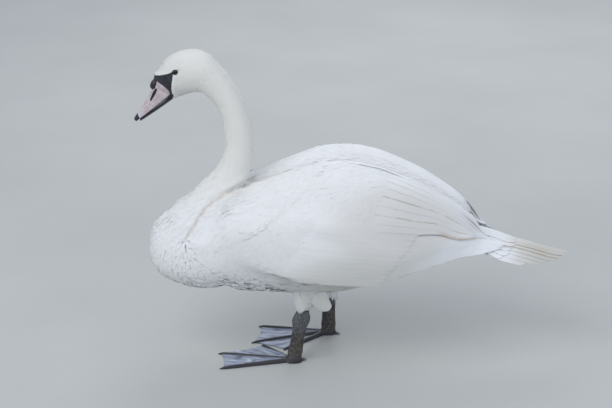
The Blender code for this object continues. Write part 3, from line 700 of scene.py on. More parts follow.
def vane_mesh(name, surface, roots, lengths, widths, depth, rise, shape, seed):
    """One mesh of small feathers that grow from their roots along the lie of the coat."""
    rng = np.random.default_rng(seed)
    count = len(roots)
    place, field = surface.snap(roots)
    wing = field[:, WING]
    thick = (VANE_THICK[0] + (VANE_THICK[1] - VANE_THICK[0]) * wing)[:, None] * MM
    turn = rng.normal(0, VANE_TURN, count) + TUFT_TURN * waves(roots, TUFT_SIZE, seed + 1)
    turn = turn * (1 - SLEEK_CALM * wing)
    angle = np.arctan2(field[:, SINE], field[:, COSINE])
    patch = np.stack([field[:, ALONG] / MAP_LENGTH, angle / (2 * math.pi) + 0.5], 1) * MAP_SHARE + MAP_START
    table = np.array(shape)
    heading = turned(field[:, FLOW], field[:, NORMAL], turn)
    first_place, first_normal = place, field[:, NORMAL]
    rings = []
    at = 0.0
    for share, wide, lifted in table:
        if share > 0:
            step = (share - at) * lengths
            place, field = surface.snap(place + heading * step[:, None])
            wanted = turned(field[:, FLOW], field[:, NORMAL], turn)
            heading = unit(heading * 0.5 + wanted * 0.5)
            heading = unit(heading - (heading * field[:, NORMAL]).sum(1, keepdims=True) * field[:, NORMAL])
            at = share
        normal = field[:, NORMAL]
        across = np.cross(normal, heading)
        height = -depth + (depth + rise) * lifted
        half = widths * wide / 2
        middle = place + normal * height[:, None]
        drop = np.minimum(half * half * (VANE_DROOP - SLEEK_DROOP * wing), half * DROOP_LIMIT)
        left = middle - across * half[:, None] - normal * drop[:, None]
        right = middle + across * half[:, None] - normal * drop[:, None]
        top = middle + normal * thick / 2
        low = middle - normal * thick / 2
        rings.append(np.stack([left, top, right, low], 1))
    straight = np.linalg.norm(place - first_place, axis=1) > LEAST_REACH * lengths
    kept = straight & ((first_normal * field[:, NORMAL]).sum(1) > 0.0)
    points = np.stack(rings, 1)[kept].reshape(-1, 3)
    patch, lengths, widths, count = patch[kept], lengths[kept], widths[kept], int(kept.sum())
    stations = len(table)
    first = np.arange(VANE_SIDES)
    last = (stations - 1) * VANE_SIDES + first[::-1]
    quads = np.concatenate([tube_quads(stations, VANE_SIDES)[:, [0, 3, 2, 1]], [first, last]])
    base = np.arange(count) * stations * VANE_SIDES
    mesh = mesh_of(name, points, [(base[:, None, None] + quads).reshape(-1, 4)])
    sharpen(mesh, stations, VANE_SIDES, (0, 2))
    across_at = np.tile([-1.0, 0.0, 1.0, 0.0], (count, stations, 1)) * table[None, :, 1:2]
    along_at = np.broadcast_to(table[None, :, 0:1], (count, stations, VANE_SIDES))
    local = np.stack([across_at, along_at * 2 - 1], -1) * MAP_FEATHER
    write_uv(mesh, (patch[:, None, None, :] + local).reshape(-1, 2))
    beside = across_at * widths[:, None, None] / 2 / MM
    outward = along_at * lengths[:, None, None] / MM
    set_values(mesh, "FLOAT_VECTOR", barb=np.stack([beside, outward, np.zeros(beside.shape)], -1))
    shade = np.repeat(rng.random(count), stations * VANE_SIDES)
    # Brown shadow is painted into the feathers along the fold beside the neck.
    set_values(mesh, shade=shade, along=along_at, stain=FOLD_PAINTED_SHADOW * near_fold(points, FOLD_SHADOW_REACH))
    return mesh


def sharpen(mesh, stations, sides, rims):
    """Makes the rims and the ends of every feather in a mesh sharp."""
    ends = edge_ends(mesh)
    ring = ends // sides
    place = ends % sides
    along_rim = (place[:, 0] == place[:, 1]) & np.isin(place[:, 0], rims)
    at_end = (ring[:, 0] == ring[:, 1]) & np.isin(ring[:, 0] % stations, (0, stations - 1))
    mesh.attributes.new("sharp_edge", "BOOLEAN", "EDGE").data.foreach_set("value", along_rim | at_end)


def write_uv(mesh, values):
    """A UV map from values by vertex."""
    corners = np.empty(len(mesh.loops), np.int32)
    mesh.loops.foreach_get("vertex_index", corners)
    layer = mesh.uv_layers.new(name="OFBake")
    layer.data.foreach_set("uv", np.asarray(values, np.float32)[corners].ravel())


# The coat and the skin under it.

# Outline of what carries no feathers on the head, bill and black skin alike, x and z.
BARE_OUTLINE = (
    (-410, 603), (-399.5, 599.0), (-389, 601.6), (-377.2, 604.9), (-365.1, 610.6), (-361.8, 608), (-363, 600),
    (-365.2, 585), (-365.4, 568.2), (-362.8, 559.9), (-360, 550), (-380, 515), (-470, 470), (-480, 570),
)
# How far the first feathers root inside that outline, over what width they come up to full depth, and the
# share of it that they begin with.
COAT_BEYOND = 0.5
COAT_BORDER = 7.0
BORDER_DEPTH = 0.25
# Where the small feathers over the tail end, and how far from the middle they do.
COAT_END = 238.0
COAT_END_SIDE = 62
COAT_END_LOW = 190
# How far from the middle the flight feathers take the coat's place.
FLIGHT_SIDE = 40
# How far round the lids no small feather roots, and how far round them none ends.
EYE_ROOTS = 0.3
EYE_TIPS = 0.6
# The pieces of the coat, by the distance along the bird where each begins and ends.
COAT_PIECES = {
    "head": (0, 95), "neck_top": (95, 200), "neck": (200, 330), "neck_base": (330, 470),
    "breast": (470, 620), "body": (620, 790), "back": (790, 960), "rump": (960, 2000),
}
# How far apart the small feathers grow, as a share of their width, and how much their sizes vary.
COAT_SPACING = 0.5
COAT_SIZES = (0.85, 1.15)
# How far their tips stand out over the coat: at least, by chance, more by chance where the breast is ruffled,
# and the share by which that is less in the sleek coat.
COAT_RISE = 0.08
COAT_RISE_CHANCE = 0.2
RUFFLED_RISE = 0.7
SLEEK_FLATTER = 0.8
RUFFLED_TOP = (215, 180)
RUFFLED_REAR = (-120, -200)
# How deep their roots lie, as a share of the coat's depth, and how much less in the sleek coat.
ROOT_DEPTH = 0.75
SLEEK_ROOTS = 0.4
EYE_PLACE = (-357.0, 25.4, 611.2)
EYE_RADIUS = 5.8
EYE_SLANT = math.radians(14)
# Half length and half height of the opening of the lids.
EYE_HALF = (5.4, 4.0)
# The rims of the lids: points round the eye, points of their section, and its half width and half height.
LID_TURNS = 64
LID_SIDES = 12
LID_WIDE = 0.62
LID_HIGH = 0.5
# How much further their front and rear corner reach, how sharp each is, and how far they lie off the eye.
LID_CORNERS = ((0.30, 8), (0.12, 6))
LID_OFF = 0.1


def in_eye(x, z, margin):
    """Whether points seen from the side lie in the opening of the lids."""
    dx, dz = x - EYE_PLACE[0], z - EYE_PLACE[2]
    turn_x = dx * math.cos(EYE_SLANT) + dz * math.sin(EYE_SLANT)
    turn_z = dz * math.cos(EYE_SLANT) - dx * math.sin(EYE_SLANT)
    return (turn_x / (EYE_HALF[0] + margin)) ** 2 + (turn_z / (EYE_HALF[1] + margin)) ** 2 < 1


def feather_size(fields):
    """Length and width of the coat's feathers, in millimetres, from the fields where they grow."""
    length, width = table_at(FEATHER_SIZES, fields[:, ALONG])
    share = fields[:, SLEEK]
    return np.stack([length + (WING_SIZE[0] - length) * share, width + (WING_SIZE[1] - width) * share])


def coat_regions(surface):
    """Which vertices carry the small feathers, and how far apart their feathers stand."""
    x, y, z = surface.points.T / MM
    bare = outline_distance(x, z, BARE_OUTLINE) > COAT_BEYOND + SKIN_VOXEL
    eye = in_eye(x, z, EYE_ROOTS)
    flight = inside(x, z, FLIGHT_OUTLINE) & (np.abs(y) > FLIGHT_SIDE)
    tail = (x > COAT_END) & (np.abs(y) < COAT_END_SIDE) & (z > COAT_END_LOW)
    width = feather_size(surface.fields)[1] * (1 - PARTING_SMALL * near_parting(surface.points))
    return ~(bare | eye | flight | tail), width


def build_coat(surface, material):
    """The small feathers from the face to the tail, in one piece for each length of the bird."""
    allowed, width = coat_regions(surface)
    roots = scatter(surface, width * COAT_SPACING * MM, allowed.astype(float), 11)
    _, field = surface.snap(roots)
    tips = roots + field[:, FLOW] * (feather_size(field)[0] * 0.9 * MM)[:, None]
    tip_x, _, tip_z = tips.T / MM
    x, _, z = roots.T / MM
    on_face = outline_distance(x, z, BARE_OUTLINE) > COAT_BEYOND
    roots = roots[~in_eye(tip_x, tip_z, EYE_TIPS) & ~on_face]
    _, field = surface.snap(roots)
    along = field[:, ALONG]
    x, _, z = roots.T / MM
    length, width = feather_size(field) * (1 - PARTING_SMALL * near_parting(roots))
    depth = table_at(COAT_DEPTH, along)[0] * (1 - PARTING_SHALLOW * near_parting(roots))
    border = -outline_distance(x, z, BARE_OUTLINE)
    depth *= BORDER_DEPTH + (1 - BORDER_DEPTH) * smooth_step(-COAT_BEYOND, COAT_BORDER, border)
    rng = np.random.default_rng(5)
    pieces = []
    for index, (name, (start, end)) in enumerate(COAT_PIECES.items()):
        chosen = (along >= start) & (along < end)
        size = rng.uniform(*COAT_SIZES, chosen.sum())
        ruffled = smooth_step(*RUFFLED_TOP, z[chosen]) * smooth_step(*RUFFLED_REAR, x[chosen])
        wing = field[chosen, WING]
        chance = COAT_RISE_CHANCE + RUFFLED_RISE * ruffled
        rise = (COAT_RISE + chance * rng.random(chosen.sum())) * (1 - SLEEK_FLATTER * wing)
        sunk = depth[chosen] * (ROOT_DEPTH - SLEEK_ROOTS * wing)
        shape = FINE_SHAPE if name == "head" else VANE_SHAPE
        mesh = vane_mesh(
            f"coat_{name}", surface, roots[chosen], length[chosen] * size * MM, width[chosen] * size * MM,
            sunk * MM, rise * MM, shape, 20 + index,
        )
        mesh.materials.append(material)
        pieces.append(new_object(f"coat_{name}", mesh))
    return pieces


def build_skin(surface, form, material):
    """The bird's skin, under the coat by its depth."""
    depth = table_at(COAT_DEPTH, surface.fields[:, ALONG])[0]
    x, _, z = surface.points.T / MM
    in_bill = smooth_step(0.0, 6.0, outline_distance(x, z, BILL_ROOT_OUTLINE))
    shallow = SLEEK_SHALLOW * surface.fields[:, WING]
    depth *= 1 - np.maximum(PARTING_SHALLOW * near_parting(surface.points), shallow)
    depth = (depth + BILL_SINK * in_bill) * MM
    points = surface.points - surface.normals * depth[:, None]
    mesh = form.data.copy()
    set_points(mesh, points)
    skin = new_object("skin", mesh)
    fewer = skin.modifiers.new("fewer", "DECIMATE")
    fewer.ratio = SKIN_SHARE
    apply_modifiers(skin)
    skin.data.name = "skin"
    shade_smooth(skin.data)
    skin.data.materials.clear()
    skin.data.materials.append(material)
    return skin


# Broad feathers of wings and tail.

# Rows of a wing's broad feathers, lowest first: name, count, x and z seen from the side of the first and the
# last root, the same of the tips, how far the first and the last feather bow up, half width, height over the
# wing, how much the lower edge stands up, and how pointed the tip is.
WING_ROWS = (
    ("primaries", 9, (20, 207), (90, 296), (288, 243), (306, 248), (10, 1), 11, -0.5, 0.3, 1.6),
    ("secondaries", 11, (-175, 226), (-105, 340), (60, 208), (128, 300), (3, 5), 13, 0.3, 0.12, 0.35),
)
# The innermost broad feathers lie along three guides: the wing's lower rim, its top edge and its inner slope.
# Each is x, distance from the middle, and z.
TERTIAL_GUIDES = (
    (
        (-30, 152, 326), (60, 134, 325), (123, 113, 313), (168, 93, 306), (202, 79, 289), (236, 62, 277),
        (262, 47, 267), (284, 41, 256),
    ), (
        (-30, 62, 432), (40, 60, 427), (103, 60, 403), (157, 58, 377), (208, 52, 343), (240, 45, 311),
        (264, 40, 277), (286, 37, 258),
    ), (
        (-30, 22, 421), (40, 21, 412), (100, 20, 390), (150, 19, 362), (196, 18, 332), (222, 20, 310),
        (242, 26, 289), (262, 29, 272), (284, 31, 261),
    ),
)
# Each of these feathers: place between the guides, where it begins and ends along them, half width, point.
TERTIALS = (
    (0.02, 0.00, 0.93, 12, 1.1), (0.15, 0.02, 0.95, 12, 1.1), (0.28, 0.04, 0.965, 12, 1.1),
    (0.41, 0.06, 0.98, 12, 1.1), (0.54, 0.08, 0.99, 12, 1.1), (0.67, 0.10, 0.98, 12, 1.1),
    (0.80, 0.12, 0.965, 12, 1.1), (0.93, 0.14, 0.95, 11, 1.1), (1.10, 0.16, 0.97, 9, 0.8),
    (1.34, 0.18, 0.97, 9, 0.7), (1.60, 0.20, 0.96, 10, 0.6), (1.20, 0.00, 0.40, 11, 0.2),
    (1.55, 0.00, 0.46, 11, 0.2),
)
TERTIAL_TILT = 0.65
TERTIAL_CROWN = 0.15
TERTIAL_LENGTH = 300
TERTIAL_STRAY = 0.004
# How deep their roots lie, how far they rise over the wing, and over what share of their length.
TERTIAL_SINK = 3.5
TERTIAL_RISE = 4.5
TERTIAL_RISE_END = 0.3
# Where those feathers leave the wing and run on free to their tips.
TERTIAL_FREE = (214, 246)
# How far outwards the free tips face, by the place between the guides, and how far backwards and upwards.
TERTIAL_LEAN = ((0.75, 0.8), (0.95, 0.35), (1.6, -0.3))
TERTIAL_BACK = 0.3
TERTIAL_UP = 0.8
# How the guides' places turn from the side to the top of the wing, and how far outside it the laying begins.
TERTIAL_TURN = math.radians(75)
TERTIAL_OUT = (5, 64)
# The lowest of them has a brown edge, partly stain and partly painted shadow of the gap under it: over which
# shares of its half width and of its length.
EDGE_PLACE = 0.1
EDGE_ACROSS = (0.3, 1.0)
EDGE_BEGINS = (0.62, 0.72)
EDGE_ENDS = (1.0, 0.93)
# Feathers that close the gap between the wings: height of the wings beside it along x.
INNER_HEIGHT = (
    (-20, 421), (20, 415), (60, 404), (100, 386), (140, 368), (180, 344), (200, 331), (220, 315), (240, 297),
    (262, 278),
)
# How many there are in each of two layers, and the half width, point and hollow of each.
INNER_COUNT = 4
INNER_LAYERS = 2
INNER_FEATHER = (8.5, 0.6, 0.7)
# Where they begin and end along x in the first layer, and how much further in the next.
INNER_START = (-20, 50)
INNER_END = (150, 88)
# The distance of the first from the middle of the bird, and the step to the next.
INNER_FIRST = 2.5
INNER_STEP = 5.5
# How much lower than the wings they lie, how much the row falls towards the middle, and how far down the
# roots reach.
INNER_SINK = 6.0
INNER_FALL = 2.2
INNER_DIVE = 26.0
# The lower rim of the wing's flat side, x and z. The flight feathers hang straight down from it.
WING_RIM = (
    (-60, 214), (20, 216), (60, 225), (80, 234), (100, 244), (140, 254), (180, 264), (200, 269), (240, 266),
)
RIM_LEAN = 0.22
# How deep the roots of the flight feathers lie, and over what share of their length they come up.
ROOT_SINK = 3.0
ROOT_RISE_END = 0.16
# How far out the folded primaries lie along their tips: x and the distance from the middle.
PRIMARY_SIDE = ((200, 80), (222, 71), (245, 63), (278, 50), (302, 41), (330, 36))
# Over which x they come to lie so, and how they lean in over their height.
PRIMARY_FREE = (195, 238)
PRIMARY_LEAN = 0.45
PRIMARY_LEAN_FROM = (235, 270)
PRIMARY_MIDDLE = 248
# The part of the wing that only those feathers cover, seen from the side.
FLIGHT_OUTLINE = (
    (-96, 190), (-60, 250), (20, 322), (110, 314), (150, 304), (238, 280), (330, 268), (330, 215), (60, 180),
)
# A broad feather: stations along it, on the wing and elsewhere, places across it, and how thick it is.
WING_STATIONS = 26
BROAD_STATIONS = 15
ACROSS = np.array([-1.0, -0.62, -0.22, 0.0, 0.22, 0.62, 1.0])
BROAD_THICK = 0.35
# Their stations lie a little closer towards the tip.
STATION_POWER = 0.85
# How far roots and tips of the flight feathers stray from their rows, and how much the feathers crown.
ROOT_STRAY = 1.5
TIP_STRAY = 1.6
FLIGHT_CROWN = 0.5


def blade_width(along, pointed):
    """Half width of a broad feather along it, as a share: narrow root, and a round or pointed tip."""
    root = 0.55 + 0.45 * smooth_step(0.0, 0.3, along)
    start = 0.93 - 0.3 * min(pointed, 1.5)
    end = np.clip((along - start) / (1 - start), 0, 1)
    return root * np.maximum(1 - end**2.2, 0.0) ** (0.55 + 0.25 * pointed) + 0.02


def fill_gaps(values, steps):
    """Fills the nan places along each column by going on straight from the last good ones."""
    for column in values.T:
        good = np.flatnonzero(~np.isnan(column))
        if len(good) == 0:
            continue
        first, last = good[0], good[-1]
        column[:first] = column[first]
        inner = np.isnan(column[first:last + 1])
        column[first:last + 1][inner] = np.interp(steps[first:last + 1][inner], steps[good], column[good])
        if last < len(column) - 1:
            back = max(last - 3, first)
            slope = 0.0 if back == last else (column[last] - column[back]) / (steps[last] - steps[back])
            column[last + 1:] = column[last] + slope * (steps[last + 1:] - steps[last])
    whole = ~np.isnan(values).any(0)
    for k in range(values.shape[1]):
        if not whole[k]:
            nearest = np.flatnonzero(whole)[np.abs(np.flatnonzero(whole) - k).argmin()]
            values[:, k] = values[:, nearest]
    return values


def outer_of(centre, towards):
    """The normals of a feather's middle surface, on its side that faces towards a heading."""
    outer = unit(np.cross(np.gradient(centre, axis=0), np.gradient(centre, axis=1)))
    return outer * np.sign((outer * towards).sum() or 1.0)


def blade_faces(stations):
    """The faces of one broad feather: a flat tube with a strip over each end."""
    sides = 2 * len(ACROSS)
    k = np.arange(sides // 2 - 1)
    root = np.stack([k + 1, k, sides - 1 - k, sides - 2 - k], 1)
    tip = (stations - 1) * sides + root[:, [1, 0, 3, 2]]
    return np.concatenate([tube_quads(stations, sides), root, tip])


class Blades:
    """Gathers broad feathers into one mesh."""

    def __init__(self, stations=BROAD_STATIONS):
        self.stations = stations
        self.points = []
        self.barb = []
        self.shade = []
        self.along = []
        self.stain = []

    def add(self, centre, outer, width, length, shade, stain=0.0):
        """Adds a feather, from its middle surface and the outward normals there, station by station."""
        top = centre + outer * (BROAD_THICK * MM / 2)
        low = centre - outer * (BROAD_THICK * MM / 2)
        shape = (self.stations, 2 * len(ACROSS))
        across = np.concatenate([ACROSS, ACROSS[::-1]])
        along = np.broadcast_to(np.linspace(0, 1, self.stations)[:, None], shape)
        stain = np.broadcast_to(stain, (self.stations, len(ACROSS)))
        self.points.append(np.concatenate([top, low[:, ::-1]], 1))
        barb = [across * width[:, None], along * length, np.broadcast_to(across, shape)]
        self.barb.append(np.stack(barb, -1))
        self.shade.append(np.full(shape, shade))
        self.along.append(along)
        self.stain.append(np.concatenate([stain, stain[:, ::-1]], 1))

    def build(self, name, material):
        """The object with all the feathers."""
        points = np.array(self.points)
        count, stations, sides = points.shape[:3]
        base = np.arange(count) * stations * sides
        faces = (base[:, None, None] + blade_faces(stations)).reshape(-1, 4)
        mesh = mesh_of(name, points.reshape(-1, 3), [faces])
        face_out(mesh)
        sharpen(mesh, stations, sides, (0, sides // 2 - 1, sides // 2, sides - 1))
        along = np.array(self.along)
        set_values(mesh, "FLOAT_VECTOR", barb=self.barb)
        set_values(mesh, shade=self.shade, along=along, stain=self.stain)
        place = (np.arange(count)[:, None, None] + 0.5 + 0.42 * np.array(self.barb)[..., 2]) / count
        write_uv(mesh, np.stack([place, 0.01 + 0.98 * along], -1).reshape(-1, 2))
        mesh.materials.append(material)
        return new_object(name, mesh)


def free_blade(blades, line, outer, half, pointed, cup, shade):
    """A broad feather along a line of places, with its outer face turned along outer."""
    heading = unit(np.gradient(line, axis=0))
    outer = unit(outer - (outer * heading).sum(1, keepdims=True) * heading)
    sideways = np.cross(heading, outer)
    steps = np.linspace(0, 1, len(line))
    width = blade_width(steps, pointed) * half
    centre = line[:, None] + sideways[:, None] * (width[:, None] * ACROSS)[..., None] * MM
    centre -= outer[:, None] * (cup * ACROSS**2)[None, :, None] * MM
    normal = unit(outer[:, None] + sideways[:, None] * (2 * cup / half * ACROSS)[None, :, None])
    length = float(np.linalg.norm(line[-1] - line[0])) / MM
    blades.add(centre, normal, width, length, shade)


def build_wing(surface, name, side, material):
    """The broad feathers of one folded wing."""
    rng = np.random.default_rng(40)
    blades = Blades(WING_STATIONS)
    steps = np.linspace(0, 1, WING_STATIONS) ** STATION_POWER
    for row, count, root_a, root_b, tip_a, tip_b, bows, half, lift, tilt, pointed in WING_ROWS:
        for share in np.arange(count) / (count - 1):
            root = np.array(root_a) + (np.array(root_b) - root_a) * share + rng.normal(0, ROOT_STRAY, 2)
            tip = np.array(tip_a) + (np.array(tip_b) - tip_a) * share + rng.normal(0, TIP_STRAY, 2)
            bow = bows[0] + (bows[1] - bows[0]) * share
            straight = tip - root
            length = float(np.linalg.norm(straight))
            up = np.array([-straight[1], straight[0]]) / length
            line = root + straight * steps[:, None] + up * (4 * bow * steps * (1 - steps))[:, None]
            heading = unit(np.gradient(line, axis=0))
            sideways = np.stack([heading[:, 1], -heading[:, 0]], 1)
            width = blade_width(steps, pointed) * half
            grid = line[:, None, :] + sideways[:, None, :] * (width[:, None] * ACROSS)[..., None]
            x, z = grid[..., 0] * MM, grid[..., 1] * MM
            rim = table_at(WING_RIM, x / MM)[0] * MM
            y = surface.beside(x.ravel(), np.maximum(z, rim).ravel(), side)
            y = fill_gaps(y.reshape(x.shape), steps)
            y -= side * RIM_LEAN * np.maximum(rim - z, 0.0)
            if row == "primaries":
                out = table_at(PRIMARY_SIDE, x / MM)[0]
                out -= PRIMARY_LEAN * (z / MM - PRIMARY_MIDDLE) * smooth_step(*PRIMARY_LEAN_FROM, x / MM)
                y = y + (side * out * MM - y) * smooth_step(*PRIMARY_FREE, x / MM)
            centre = np.stack([x, y, z], -1)
            outer = outer_of(centre, (0, side, 0))
            rise = -ROOT_SINK + (ROOT_SINK + lift) * smooth_step(0.0, ROOT_RISE_END, steps)
            height = rise[:, None] + tilt * ACROSS + FLIGHT_CROWN * (1 - ACROSS**2)
            centre = centre + outer * (height * MM)[..., None]
            blades.add(centre, outer, width, length, rng.random())
    add_tertials(blades, surface, side, rng)
    add_inner_feathers(blades, side, rng)
    return blades.build(name, material)


def add_tertials(blades, surface, side, rng):
    """The innermost broad feathers, which hug the wing over its top edge and end in one point."""
    steps = np.linspace(0, 1, WING_STATIONS)
    guides = np.array([curve_through(guide, 60) for guide in TERTIAL_GUIDES])
    for place, begin, end, half, pointed in TERTIALS:
        first = min(int(place), 1)
        guide = guides[first] + (guides[first + 1] - guides[first]) * (place - first)
        at = (begin + (end - begin) * steps + rng.normal(0, TERTIAL_STRAY)) * (len(guide) - 1)
        free_line = np.stack([np.interp(at, np.arange(len(guide)), column) for column in guide.T], 1)
        free_line = free_line * [1, side, 1] * MM
        free = smooth_step(*TERTIAL_FREE, free_line[:, 0] / MM)[:, None]
        turn = TERTIAL_TURN * place
        out = TERTIAL_OUT[0] + TERTIAL_OUT[1] * max(place * (1 - place), 0.0)
        outside = np.array([0, side * math.cos(turn), math.sin(turn)]) * out * MM
        laid, field = surface.snap(free_line + outside)
        line = laid + (free_line - laid) * free
        tip_normal = np.array([TERTIAL_BACK, side * table_at(TERTIAL_LEAN, place)[0], TERTIAL_UP])
        normal = unit(field[:, NORMAL] * (1 - free) + tip_normal * free)
        sideways = unit(np.cross(unit(np.gradient(line, axis=0)), normal)) * -side
        width = blade_width(steps, pointed) * half
        grid = line[:, None] + sideways[:, None] * (width[:, None] * ACROSS)[..., None] * MM
        laid, _ = surface.snap(grid)
        centre = laid + (grid - laid) * free[:, None]
        outer = outer_of(centre, normal[:, None])
        rise = -TERTIAL_SINK + TERTIAL_RISE * smooth_step(0.0, TERTIAL_RISE_END, steps)
        height = rise[:, None] + TERTIAL_TILT * ACROSS + TERTIAL_CROWN * (1 - ACROSS**2)
        centre = centre + outer * (height * MM)[..., None]
        # The lowest tertial's brown edge: partly stain, partly painted shadow of the gap beneath it.
        stain = 0.0
        if place < EDGE_PLACE:
            stained = smooth_step(*EDGE_BEGINS, steps) * smooth_step(*EDGE_ENDS, steps)
            stain = smooth_step(*EDGE_ACROSS, ACROSS) * stained[:, None]
        blades.add(centre, outer, width, (end - begin) * TERTIAL_LENGTH, rng.random(), stain)


def add_inner_feathers(blades, side, rng):
    """The feathers of one wing that lie over the middle of the back."""
    steps = np.linspace(0, 1, WING_STATIONS)
    for index in range(INNER_COUNT * INNER_LAYERS):
        row, layer = index % INNER_COUNT, index // INNER_COUNT
        across = side * (INNER_FIRST + INNER_STEP * row + rng.uniform(-1, 1))
        start = INNER_START[0] + INNER_START[1] * layer + 6 * row + rng.uniform(-6, 6)
        end = INNER_END[0] + INNER_END[1] * layer + rng.uniform(-7, 7)
        x = start + (end - start) * steps
        z = table_at(INNER_HEIGHT, x)[0]
        z -= INNER_SINK + INNER_FALL * (INNER_COUNT - 1 - row)
        z -= INNER_DIVE * (1 - smooth_step(0.0, 0.4, steps))
        z -= 1.0 * layer + 5.0 * smooth_step(0.75, 1.0, steps)
        line = np.stack([x, across + side * 3 * steps, z], 1) * MM
        outer = np.tile([0.2, side * -0.2, 1.0], (len(line), 1))
        free_blade(blades, line, outer, *INNER_FEATHER, rng.random())


# Tail feathers and the coverts over them, from the outermost to the middle one: x and y of the tip, and the
# tail's height along it.
TAIL_TIPS = ((355, 47), (384, 43), (405, 36), (421, 27.5), (433, 18.5), (441, 9.5), (444.5, 0))
COVERT_TIPS = ((306, 44), (318, 38), (326, 30), (332, 20), (336, 10), (338, 0))
TAIL_LINE = (
    (225, 272), (262, 265), (300, 256), (335, 247), (361, 240), (382, 234), (405, 227), (425, 221.5),
    (438, 218.5), (446, 217.5),
)
# How far its rims hang lower than its middle, along x, where they are this far out.
TAIL_DROOP = ((250, 35), (300, 34), (355, 27), (450, 25))
TAIL_DROOP_OUT = 60
# For tail feathers and coverts: x of the roots, spread of the roots, height over the tail.
TAIL_ROOT = (250.0, 36.0, 0.0)
COVERT_ROOT = (226.0, 34.0, 7.5)
# How much closer the coverts lie to the tail at their tips, and from which share of their length.
COVERT_CLOSE = 0.86
COVERT_CLOSE_FROM = 0.35
TAIL_HALF_WIDTH = 13.0
TAIL_POINTED = 0.5
# How much higher each next feather lies, how much each crowns, and how much its outer rim stands up.
TAIL_LAYER = 1.2
TAIL_CROWN = 0.6
TAIL_TILT = 0.5
TAIL_STRAY = 0.8


def build_tail(material):
    """The fan of tail feathers and the coverts over their roots."""
    rng = np.random.default_rng(50)
    blades = Blades()
    steps = np.linspace(0, 1, BROAD_STATIONS) ** STATION_POWER
    width = blade_width(steps, TAIL_POINTED) * TAIL_HALF_WIDTH
    for tips, (root_x, root_spread, over) in ((TAIL_TIPS, TAIL_ROOT), (COVERT_TIPS, COVERT_ROOT)):
        last = len(tips) - 1
        over = over * (1 - COVERT_CLOSE * smooth_step(COVERT_CLOSE_FROM, 1, steps))
        for index, (tip_x, tip_y) in enumerate(tips):
            for side in (-1, 1) if index < last else (1,):
                root = np.array([root_x, side * root_spread * (1 - index / last)])
                tip = np.array([tip_x, side * tip_y]) + rng.normal(0, TAIL_STRAY, 2)
                straight = tip - root
                length = float(np.linalg.norm(straight))
                sideways = np.array([-straight[1], straight[0]]) / length
                line = root + straight * steps[:, None]
                flat = line[:, None, :] + sideways * (width[:, None] * ACROSS)[..., None]
                x, y = flat[..., 0], flat[..., 1]
                z = table_at(TAIL_LINE, x)[0] - table_at(TAIL_DROOP, x)[0] * (y / TAIL_DROOP_OUT) ** 2
                z += over[:, None] + TAIL_LAYER * (index - last)
                z += TAIL_CROWN * (1 - ACROSS**2) + TAIL_TILT * ACROSS * side
                centre = np.stack([x, y, z], -1) * MM
                blades.add(centre, outer_of(centre, (0, 0, 1)), width, length, rng.random())
    return blades.build("tail_feathers", material)


# Bill, bare skin and eyes.

# The bill, along its own length: culmen x, z; cutting edge x, z; half width at the cutting edge.
BILL_RIBS = (
    (-391, 600, -358, 561, 16.5), (-395.5, 595.5, -363.5, 559, 16.4), (-403.5, 575.5, -376, 554.5, 15.6),
    (-409.5, 561.5, -388, 545.5, 14.6), (-418, 547, -401, 534.5, 13.9), (-428.5, 530.5, -415, 523, 13.8),
    (-436.5, 519, -427.5, 512.8, 13.0), (-441.8, 511.5, -434.5, 507.2, 10.5),
    (-444.3, 506.2, -438.8, 502.8, 6.0),
)
JAW_RIBS = (
    (-366, 556, -363.5, 549.5, 12.6), (-372, 552, -369, 546, 12.8), (-386, 541.2, -382.5, 536, 12.2),
    (-404, 528.1, -401, 523, 11.5), (-421, 515.8, -418.5, 511, 10.6), (-432, 507.6, -430.5, 503, 8.5),
)
BILL_RINGS = 70
BILL_SIDES = 48
BILL_VOXEL = 0.6
KNOB_PLACE = (-401.2, 0.0, 579.6)
KNOB_RADII = (7.4, 7.6, 12.0)
KNOB_TILT = 28.0
# The pink of the bill, seen from the side.
PINK_OUTLINE = (
    (-394.8, 588.3), (-382.6, 581.6), (-376, 576.2), (-371.5, 571.5), (-369.5, 566.5), (-369.6, 562.2),
    (-389.6, 545.2), (-410.2, 527.8), (-431.0, 511.2), (-438.5, 524), (-440, 536), (-425, 563), (-412, 571),
    (-403.6, 569.6), (-398.6, 573.0), (-396.4, 580),
)
NOSTRIL_FROM = (-396.8, 571.5)
NOSTRIL_TO = (-408.6, 549.0)
NOSTRIL_WIDE = 3.6
NOSTRIL_DEEP = 2.4
NOSTRIL_RIM = 0.25
# The black nail: the bill's tip, x and z, half the nail's width, and its length.
NAIL_TIP = (-444.3, 504.5)
NAIL_SIZE = (7.0, 17.0)
# The bill's heading from tip to root, x and z.
BILL_HEADING = (0.634, 0.773)
# What the bill covers of the form, seen from the side, and how far the skin sinks there.
BILL_ROOT_OUTLINE = ((-394, 600), (-362, 556), (-380, 500), (-480, 480), (-480, 600))
BILL_SINK = 5.0
# The skin before the eye, seen from the side. Its front lies under the bill's root.
LORE_OUTLINE = (
    (-410, 604), (-399.5, 599.8), (-389, 602.4), (-377.2, 605.6), (-365.1, 611.2), (-360.6, 610.0),
    (-360.6, 603), (-362.2, 596), (-363.8, 587), (-364.6, 577), (-363.8, 567.2), (-363.0, 561),
    (-362.6, 556), (-364.5, 550), (-366, 546), (-374, 556), (-386, 570), (-396, 582), (-410, 590),
)
# The part of the form that is cut out first for it: the largest x and the least z, in metres.
LORE_REAR = -0.335
LORE_LOW = 0.535
LORE_THICK = 0.9
# Along this line, from and to in x and z, it sinks under the bill's root.
LORE_FRONT = ((-408, 592), (-364, 546))


# How full the bill's arch is sideways and upwards, and how much its flat side crowns.
ARCH_OUT = 0.8
ARCH_UP = 0.85
ARCH_CROWN = 0.12


